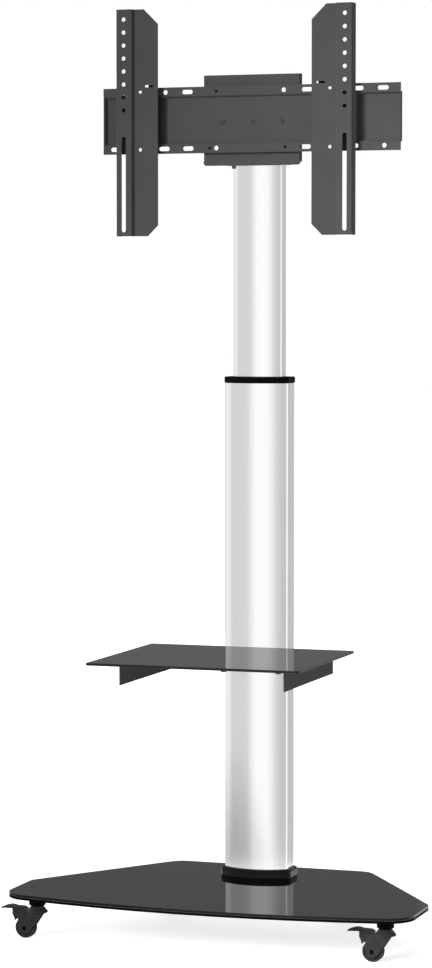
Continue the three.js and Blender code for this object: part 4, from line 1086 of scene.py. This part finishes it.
class TVSTAND_OT_shelf(bpy.types.Operator):
    """Models the glass shelf with its brackets, cross bar and clamp"""

    bl_idname = "tvstand.shelf"
    bl_label = "Shelf"

    def execute(self, context):
        low, high = span("shelf_glass")
        glass = prism("glass", rounded([
            (low.x, low.y, 6), (high.x, low.y, 6), (high.x, high.y, 6), (low.x, high.y, 6),
        ]), low.z, high.z)
        soften(glass, mm(settings("tv_glass").polish))
        place(glass, "shelf_glass_panel", "shelf", "black_glass", "shelf_glass")
        for name, side in SIDES:
            self.bracket(name, side)
            self.bolt(name)
            self.screw(name)
        self.cross_bar()
        self.strap()
        self.saddle()
        return {"FINISHED"}

    def bracket(self, name, side):
        """Upright plate with its top edge folded inwards."""
        fold, inside = folds()
        low, high = span(f"shelf_side_{name}")
        outer, inner = (low.x, high.x) if side < 0 else (high.x, low.x)
        wall = outer - side * SHEET
        piece = prism("bracket", rounded([
            (outer, low.z, 0.8), (outer, high.z, fold), (inner, high.z, 0.8),
            (inner, high.z - SHEET, 0.8), (wall, high.z - SHEET, inside), (wall, low.z, 0.8),
        ]), low.y, high.y, "Y", 15)
        soften_sheet(piece)
        place(piece, f"shelf_bracket_{name}", "shelf", "black_paint", f"shelf_side_{name}")

    def cross_bar(self):
        """Channel open to the back, with the holes of its bolts and screws."""
        fold, _ = folds()
        low, high = span("shelf_cross_bar")
        lip = low.y + SHEET
        piece = prism("cross_bar", rounded([
            (low.y, low.z, fold), (high.y, low.z, 0.8), (high.y, low.z + SHEET, 0.8),
            (lip, low.z + SHEET, 0.6), (lip, high.z - SHEET, 0.6),
            (high.y, high.z - SHEET, 0.8), (high.y, high.z, 0.8), (low.y, high.z, fold),
        ]), low.x, high.x, "X", 15)
        holes = []
        for name, _ in SIDES:
            bolt, screw = middle(f"shelf_clamp_bolt_{name}"), middle(f"shelf_saddle_screw_{name}")
            holes += [
                hole_cutter(bolt.x, bolt.z, BOLT_HOLE, low.y, lip),
                upright_rod("hole", SCREW_HOLE, screw.x, screw.y, low.z - 3, low.z + 6, 24),
            ]
        cut(piece, *holes)
        soften_sheet(piece)
        place(piece, "shelf_channel", "shelf", "black_paint", "shelf_cross_bar")

    def strap(self):
        """Band round the back of the column with an ear for a bolt at each end."""
        low, high = span("shelf_strap")
        strap = prism("strap", lower_section(3), low.z, high.z, step=4)
        cut(strap, bore(lower_section(0.5), low, high))
        cut(strap, box(
            "front_half", (low.x, low.y - 9, low.z - PAST), (high.x, COLUMN_Y, high.z + PAST)
        ))
        inner = (LOWER_TUBE[1].x - LOWER_TUBE[0].x) / 2 + 0.5
        outer, tip, back = inner + SHEET, high.x, low.y + SHEET
        holes = []
        for name, side in SIDES:
            unite(strap, prism("ear", rounded([
                (side * inner, low.y, 0.6), (side * tip, low.y, 0.8), (side * tip, back, 0.8),
                (side * outer, back, 1), (side * outer, COLUMN_Y + 0.3),
                (side * inner, COLUMN_Y + 0.3),
            ]), low.z, high.z))
            bolt = middle(f"shelf_clamp_bolt_{name}")
            holes.append(hole_cutter(bolt.x, bolt.z, BOLT_HOLE, low.y, back))
        cut(strap, *holes)
        soften(strap, 0.35)
        place(strap, "shelf_clamp_strap", "shelf", "black_paint", "shelf_strap")

    def saddle(self):
        """Block hollowed to the column's front."""
        low, high = span("shelf_saddle")
        saddle = box("saddle", low, high)
        screws = [middle(f"shelf_saddle_screw_{name}") for name, _ in SIDES]
        cut(
            saddle, bore(lower_section(0.5), low, high),
            *[upright_rod("hole", SCREW_HOLE, at.x, at.y, low.z - PAST, low.z + 13, 24)
              for at in screws],
        )
        soften(saddle, 0.4)
        place(saddle, "shelf_clamp_saddle", "shelf", "matte_black", "shelf_saddle")

    def bolt(self, name):
        """Level bolt with a hexagon head and nut."""
        node = f"shelf_clamp_bolt_{name}"
        low, high = span(node)
        x, _, z = middle(node)
        head = soften(level_rod("head", 6, x, z, high.y - 5, high.y, 6), 0.6)
        nut = soften(level_rod("nut", 6, x, z, low.y, low.y + 5, 6), 0.6)
        shank = level_rod("shank", 3, x, z, low.y + 0.1, high.y - 1, 20)
        bolt = join("bolt", head, nut, shank)
        place(bolt, f"shelf_hex_bolt_{name}", "shelf", "dark_steel", node)

    def screw(self, name):
        """Upright screw with a pan head at its lower end."""
        node = f"shelf_saddle_screw_{name}"
        low, high = span(node)
        x, y, _ = middle(node)
        head = soften(turned("pan", [
            (0, low.z), (6, low.z, 2.6), (6, low.z + 6.2, 0.4), (0, low.z + 6.2),
        ], "Z", (x, y, 0)), 0)
        screw = join("screw", head, upright_rod("shank", 2.5, x, y, low.z + 6, high.z, 20))
        place(screw, f"shelf_pan_screw_{name}", "shelf", "dark_steel", node)


# Casters


def caster_axes():
    """Swivel axes of the four casters, in millimetres."""
    boxes = [span(f"caster_boss_{corner}") for corner in CORNERS]
    return [((low.x + high.x) / 2, (low.y + high.y) / 2) for low, high in boxes]


class TVSTAND_OT_casters(bpy.types.Operator):
    """Models one caster about its swivel axis and sets a copy under each corner"""

    bl_idname = "tvstand.casters"
    bl_label = "Casters"

    trail = 23
    axle_height = 20
    wheel_radius = 20
    pivot = (-13, 46)
    hood_round = 0.4

    def execute(self, context):
        pieces = [
            (self.boss(), "caster_turned_boss", "base", "matte_black", "caster_boss"),
            (self.fork(), "caster_flared_fork", "fork", "caster_black", "caster_fork"),
            (self.axle(), "caster_riveted_axle", "fork", "matte_black", "caster_axle"),
            (self.wheel(), "caster_tread_wheel", "wheel", "tyre", "caster_wheel"),
            (self.pedal(), "caster_brake_hood", "pedal", "caster_black", "caster_pedal"),
        ]
        for corner, (x, y) in zip(CORNERS, caster_axes()):
            for piece, name, body, slot, node in pieces:
                copy = twin(piece, (x, y, 0))
                body_name = body if body == "base" else f"{body}_{corner}"
                place(copy, f"{name}_{corner}", body_name, slot, f"{node}_{corner}")
        for piece, *_ in pieces:
            bpy.data.objects.remove(piece)
        return {"FINISHED"}

    def boss(self):
        return soften(turned("boss", [
            (0, 47), (5, 47, 0.6), (5, 61.5), (12.5, 61.5, 0.5), (12.5, 64.5, 0.5),
            (16, 64.5, 1.2), (16, 80.9, 1.2), (5, 80.9), (5, 85.7), (0, 85.7),
        ]), 0)

    def fork(self):
        """Flared head with a rounded cheek on each side of the wheel."""
        piece = turned("head", [
            (5.3, 50, 0.3), (20, 50, 1), (20, 52.5, 1.2), (13, 61.2, 1.5), (5.3, 61.2, 0.3),
        ])
        axle, front, radius = flat(-self.trail, self.axle_height), flat(13, 51.25), 12
        reach = front - axle
        tangent = math.atan2(reach.y, reach.x) - math.acos(radius / reach.length)
        outline = [
            ("to", front), ("to", axle + radius * flat(math.cos(tangent), math.sin(tangent))),
            ("round", axle, -math.pi - tangent), ("to", flat(axle.x - radius, front.y)),
        ]
        for near, far in ((-12.7, -10.2), (10.2, 12.7)):
            cheek = prism("cheek", outline, near, far, "Y", 8)
            cut(cheek, *[
                level_rod("hole", hole, x, z, near - PAST, far + PAST)
                for hole, x, z in ((3.3, *axle), (2.3, *self.pivot))
            ])
            unite(piece, cheek)
        return soften(piece, 0.7, 3)

    def axle(self):
        low, high = span("caster_axle_front_left")
        half = (high.y - low.y) / 2
        side = [(0, -half), (3.2, -half, 1), (4.5, -half + 1.2, 0.3), (3, -half + 1.2)]
        centre = (-self.trail, 0, self.axle_height)
        return soften(turned("axle", side + mirrored(side), "Y", centre, 32), 0)

    def wheel(self):
        rounding = mm(settings("tv_caster").tread_round)
        side = [
            (3.3, 5.5, 0.3), (6.5, 5.5, 0.4), (7.2, 6.6, 0.4), (9, 6.6, 0.4), (9.6, 4.9, 0.4),
            (14.6, 4.9, 0.4), (15.4, 7.4, 0.4), (self.wheel_radius, 7.5, rounding),
        ]
        piece = soften(turned("wheel", side + mirrored(side), "Y", (0, 0, 0), 64), 0)
        return shift(piece, (-self.trail, 0, self.axle_height))

    def pedal(self):
        """Hood over the wheel with a ribbed cheek on each side and a curved foot blade."""
        cover = prism("cover", rounded([
            (-21.5, 56.2), (-28, 59.4, 3), (-44, 59.9, 4), (-48.5, 61.4, 4), (-57, 61.7, 9),
            (-65, 59.6, 8), (-71, 57.2, 0.9), (-70.2, 55.2, 0.9), (-63, 56.2, 8), (-56, 56.2, 4),
            (-47.6, 56.6, 1.5), (-47.8, 46.5, 6), (-43.8, 38.5, 0.4), (-42.4, 39.3, 0.4),
            (-46.2, 46.8, 4.5), (-46, 57.2, 1), (-29.4, 57, 2), (-21.5, 53.4),
        ]), -9.9, 9.9, "Y", 15)
        x, z = self.pivot
        cheek = [
            ("to", flat(x, z - 3.5)), ("round", flat(x, z), math.pi),
            *rounded([
                (-21.5, 49.5), (-21.5, 55), (-29, 58.4, 2), (-44.5, 58.8, 2), (-46.8, 57, 1),
                (-47.2, 46, 6), (-43.8, 38, 3), (-42.6, 32.5, 0.5), (-40, 35.8, 2), (-35, 38, 3),
                (-24, 42.4),
            ]),
        ]
        for side in (-1, 1):
            unite(cover, prism("cheek", cheek, *sorted((side * 8.2, side * 9.9)), "Y", 15))
            near, far = sorted((side * 9.4, side * 10.6))
            for height in (54.6, 51.4, 48.2, 45):
                unite(cover, box("rib", (-45.8, near, height - 0.55), (-37.6, far, height + 0.55)))
        unite(cover, box("shoe", (-38, -8.5, 42.2), (-33, 8.5, 57.6)))
        for near, far in ((-12.7, -8.1), (8.1, 12.7)):
            unite(cover, level_rod("stub", 2, x, z, near, far, 24))
        return soften(cover, self.hood_round)


def mirrored(side):
    """The corners of the other half of a turned profile."""
    return [(radius, -y, *rounding) for radius, y, *rounding in reversed(side)]


class TVSTAND_OT_hidden(bpy.types.Operator):
    """Finishes the pieces that sit inside others and the bolts under the foot"""

    bl_idname = "tvstand.hidden"
    bl_label = "Inner pieces"

    head_height = 4.9

    def execute(self, context):
        dress_node("column_foot", "cast_foot")
        dress_node("mast_glide", "matte_black")
        for corner in CORNERS:
            node = f"foot_bolt_{corner}"
            low, high = span(node)
            x, y, _ = middle(node)
            top = low.z + self.head_height
            head = soften(upright_rod("head", 7, x, y, low.z, top, 6), 0.6)
            shank = upright_rod("shank", 4, x, y, top - 0.1, high.z, 24)
            bolt = join("bolt", head, shank)
            place(bolt, f"foot_hex_bolt_{corner}", "base", "dark_steel", node)
        return {"FINISHED"}


# Stage


def seen_by_eye(tree):
    """Output that is 1 for camera, glossy and transmission rays, and 0 for the rest."""
    rays = tree.nodes.new("ShaderNodeLightPath")
    seen = rays.outputs["Is Camera Ray"]
    for kind in ("Is Glossy Ray", "Is Transmission Ray"):
        either = tree.nodes.new("ShaderNodeMath")
        either.operation = "MAXIMUM"
        tree.links.new(seen, either.inputs[0])
        tree.links.new(rays.outputs[kind], either.inputs[1])
        seen = either.outputs[0]
    return seen


class TVSTAND_OT_stage(bpy.types.Operator):
    """Sets the floor, soft light and camera"""

    bl_idname = "tvstand.stage"
    bl_label = "Stage"

    floor_lift = 0.78
    key_spread = 46
    # Azimuth in degrees, 0 in front and 90 at the right, with the brightness of the card there
    card_levels = (
        (-90, 1.0), (-77, 1.0), (-70, 0.76), (-30, 0.78), (-20, 1.0), (-11, 1.15), (15, 1.15),
        (25, 1.02), (34, 0.8), (46, 0.66), (62, 0.6), (72, 1.2), (125, 1.2), (138, 0.66),
        (164, 0.6), (170, 0.275), (251, 0.275), (256, 1.0), (270, 1.0),
    )
    # The brightest that a stop of the cards' ramp can stand for
    card_power = 2.0
    # Direction in which the cards grow brighter, and where along it they do
    fade_way = (0.3, 0.2, 1)
    fade_from, fade_to = -1.538, -1.298

    def execute(self, context):
        stage = settings("tv_stage")
        self.floor()
        self.cards()
        self.world(stage.sky)
        self.lamp("key_light", (-1.6, -4.2, 2.2), (1.4, 0.1, 0.9), 1.6, stage.key, self.key_spread)
        self.lamp("back_light", (-1.8, 4.6, 2.6), (0, 0.1, 1), 2.5, stage.fill)
        self.camera(stage)
        context.scene.view_settings.view_transform = "Standard"
        return {"FINISHED"}

    def floor(self):
        """Pale floor that keeps the shadow and fades into the white backdrop."""
        deselect()
        bpy.ops.mesh.primitive_plane_add(size=60, location=(0, 0, 0))
        floor = bpy.context.object
        floor.name = "studio_floor"
        finish = Finish("studio_floor", (0.93, 0.93, 0.93), 0.9, Specular_IOR_Level=0.1)
        lift = finish.add("ShaderNodeEmission", Strength=self.floor_lift)
        dark = finish.add("ShaderNodeEmission", Strength=0.0)
        mix = finish.add("ShaderNodeMixShader")
        both = finish.add("ShaderNodeAddShader")
        finish.link(seen_by_eye(finish.tree), mix.inputs["Fac"])
        finish.link(dark.outputs[0], mix.inputs[1])
        finish.link(lift.outputs[0], mix.inputs[2])
        finish.link(finish.shader.outputs[0], both.inputs[0])
        finish.link(mix.outputs[0], both.inputs[1])
        finish.show(both.outputs[0])
        floor.data.materials.append(finish.material)

    def cards(self):
        """Ring of light and grey cards that only shows in the metal and the glass."""
        deselect()
        bpy.ops.mesh.primitive_cone_add(
            vertices=96, radius1=0.64, radius2=1.4, depth=2.6, end_fill_type="NOTHING",
            location=(0, COLUMN_Y * MM, 1.302),
        )
        ring = bpy.context.object
        ring.name = "studio_cards"
        finish = Finish("studio_cards", (0, 0, 0), 1)
        here = finish.places.outputs["Object"]
        radial = finish.add("ShaderNodeTexGradient", gradient_type="RADIAL")
        finish.link(here, radial.inputs["Vector"])
        ramp = finish.add("ShaderNodeValToRGB")
        stops = ramp.color_ramp.elements
        first, *between, last = self.card_levels
        # The ends get their grey first, because a new stop moves those after it
        for stop, (_, level) in zip(stops, (first, last)):
            stop.color = self.grey(level)
        for azimuth, level in between:
            stops.new(azimuth / 360 + 0.25).color = self.grey(level)
        finish.link(radial.outputs["Fac"], ramp.inputs["Fac"])
        glow = finish.add("ShaderNodeEmission")
        finish.link(ramp.outputs["Color"], glow.inputs["Color"])
        # Low in front, where a real column mirrors the dark base, the cards fade to half
        height = finish.add("ShaderNodeVectorMath", operation="DOT_PRODUCT")
        finish.link(here, height.inputs[0])
        height.inputs[1].default_value = self.fade_way
        strength = finish.stretched(
            height.outputs["Value"], self.fade_from, self.fade_to, self.card_power / 2,
            self.card_power,
        )
        finish.link(strength, glow.inputs["Strength"])
        finish.show(glow.outputs[0])
        ring.data.materials.append(finish.material)
        ring.visible_camera = ring.visible_diffuse = ring.visible_shadow = False

    def grey(self, level):
        share = level / self.card_power
        return (share, share, share, 1)

    def world(self, strength):
        world = bpy.data.worlds.new("studio")
        bpy.context.scene.world = world
        world.use_nodes = True
        tree = world.node_tree
        tree.nodes.clear()
        mix = tree.nodes.new("ShaderNodeMixShader")
        tree.links.new(seen_by_eye(tree), mix.inputs["Fac"])
        for slot, level in ((1, strength), (2, 1.0)):
            light = tree.nodes.new("ShaderNodeBackground")
            light.inputs["Color"].default_value = (1, 1, 1, 1)
            light.inputs["Strength"].default_value = level
            tree.links.new(light.outputs[0], mix.inputs[slot])
        output = tree.nodes.new("ShaderNodeOutputWorld")
        tree.links.new(mix.outputs[0], output.inputs["Surface"])

    def lamp(self, name, at, towards, size, watts, spread=180):
        data = bpy.data.lights.new(name, "AREA")
        data.shape = "SQUARE"
        data.size = size
        data.energy = watts
        data.spread = math.radians(spread)
        lamp = bpy.data.objects.new(name, data)
        lamp.location = at
        lamp.rotation_euler = (Vector(towards) - Vector(at)).to_track_quat("-Z", "Y").to_euler()
        lamp.visible_glossy = False
        bpy.context.scene.collection.objects.link(lamp)

    def camera(self, stage):
        data = bpy.data.cameras.new("camera")
        data.sensor_width = 36
        data.lens = stage.lens
        data.clip_end = 100
        camera = bpy.data.objects.new("camera", data)
        camera.location = stage.camera_place
        camera.rotation_euler = stage.camera_turn
        bpy.context.scene.collection.objects.link(camera)
        bpy.context.scene.camera = camera


OPERATORS = (
    TVSTAND_OT_base, TVSTAND_OT_column, TVSTAND_OT_lock, TVSTAND_OT_head, TVSTAND_OT_arms,
    TVSTAND_OT_shelf, TVSTAND_OT_casters, TVSTAND_OT_hidden, TVSTAND_OT_stage,
)


class TVSTAND_PT_panel(bpy.types.Panel):
    """Lists the pieces and settings of the stand"""

    bl_idname = "TVSTAND_PT_panel"
    bl_label = "Mobile TV stand"
    bl_space_type = "VIEW_3D"
    bl_region_type = "UI"
    bl_category = "TV stand"

    def draw(self, context):
        layout = self.layout
        for operator in OPERATORS:
            layout.operator(operator.bl_idname)
        for name, group in SETTINGS:
            values = getattr(context.scene, name)
            column = layout.box().column()
            for key in group.__annotations__:
                column.prop(values, key)


def register():
    for name, group in SETTINGS:
        bpy.utils.register_class(group)
        setattr(bpy.types.Scene, name, bpy.props.PointerProperty(type=group))
    for operator in OPERATORS:
        bpy.utils.register_class(operator)
    bpy.utils.register_class(TVSTAND_PT_panel)


def unregister():
    bpy.utils.unregister_class(TVSTAND_PT_panel)
    for operator in reversed(OPERATORS):
        bpy.utils.unregister_class(operator)
    for name, group in reversed(SETTINGS):
        delattr(bpy.types.Scene, name)
        bpy.utils.unregister_class(group)


def main():
    register()
    make_finishes()
    bpy.ops.tvstand.stage()
    bpy.ops.tvstand.base()
    bpy.ops.tvstand.column()
    bpy.ops.tvstand.lock()
    bpy.ops.tvstand.head()
    bpy.ops.tvstand.arms()
    bpy.ops.tvstand.shelf()
    bpy.ops.tvstand.casters()
    bpy.ops.tvstand.hidden()


if __name__ == "__main__":
    main()
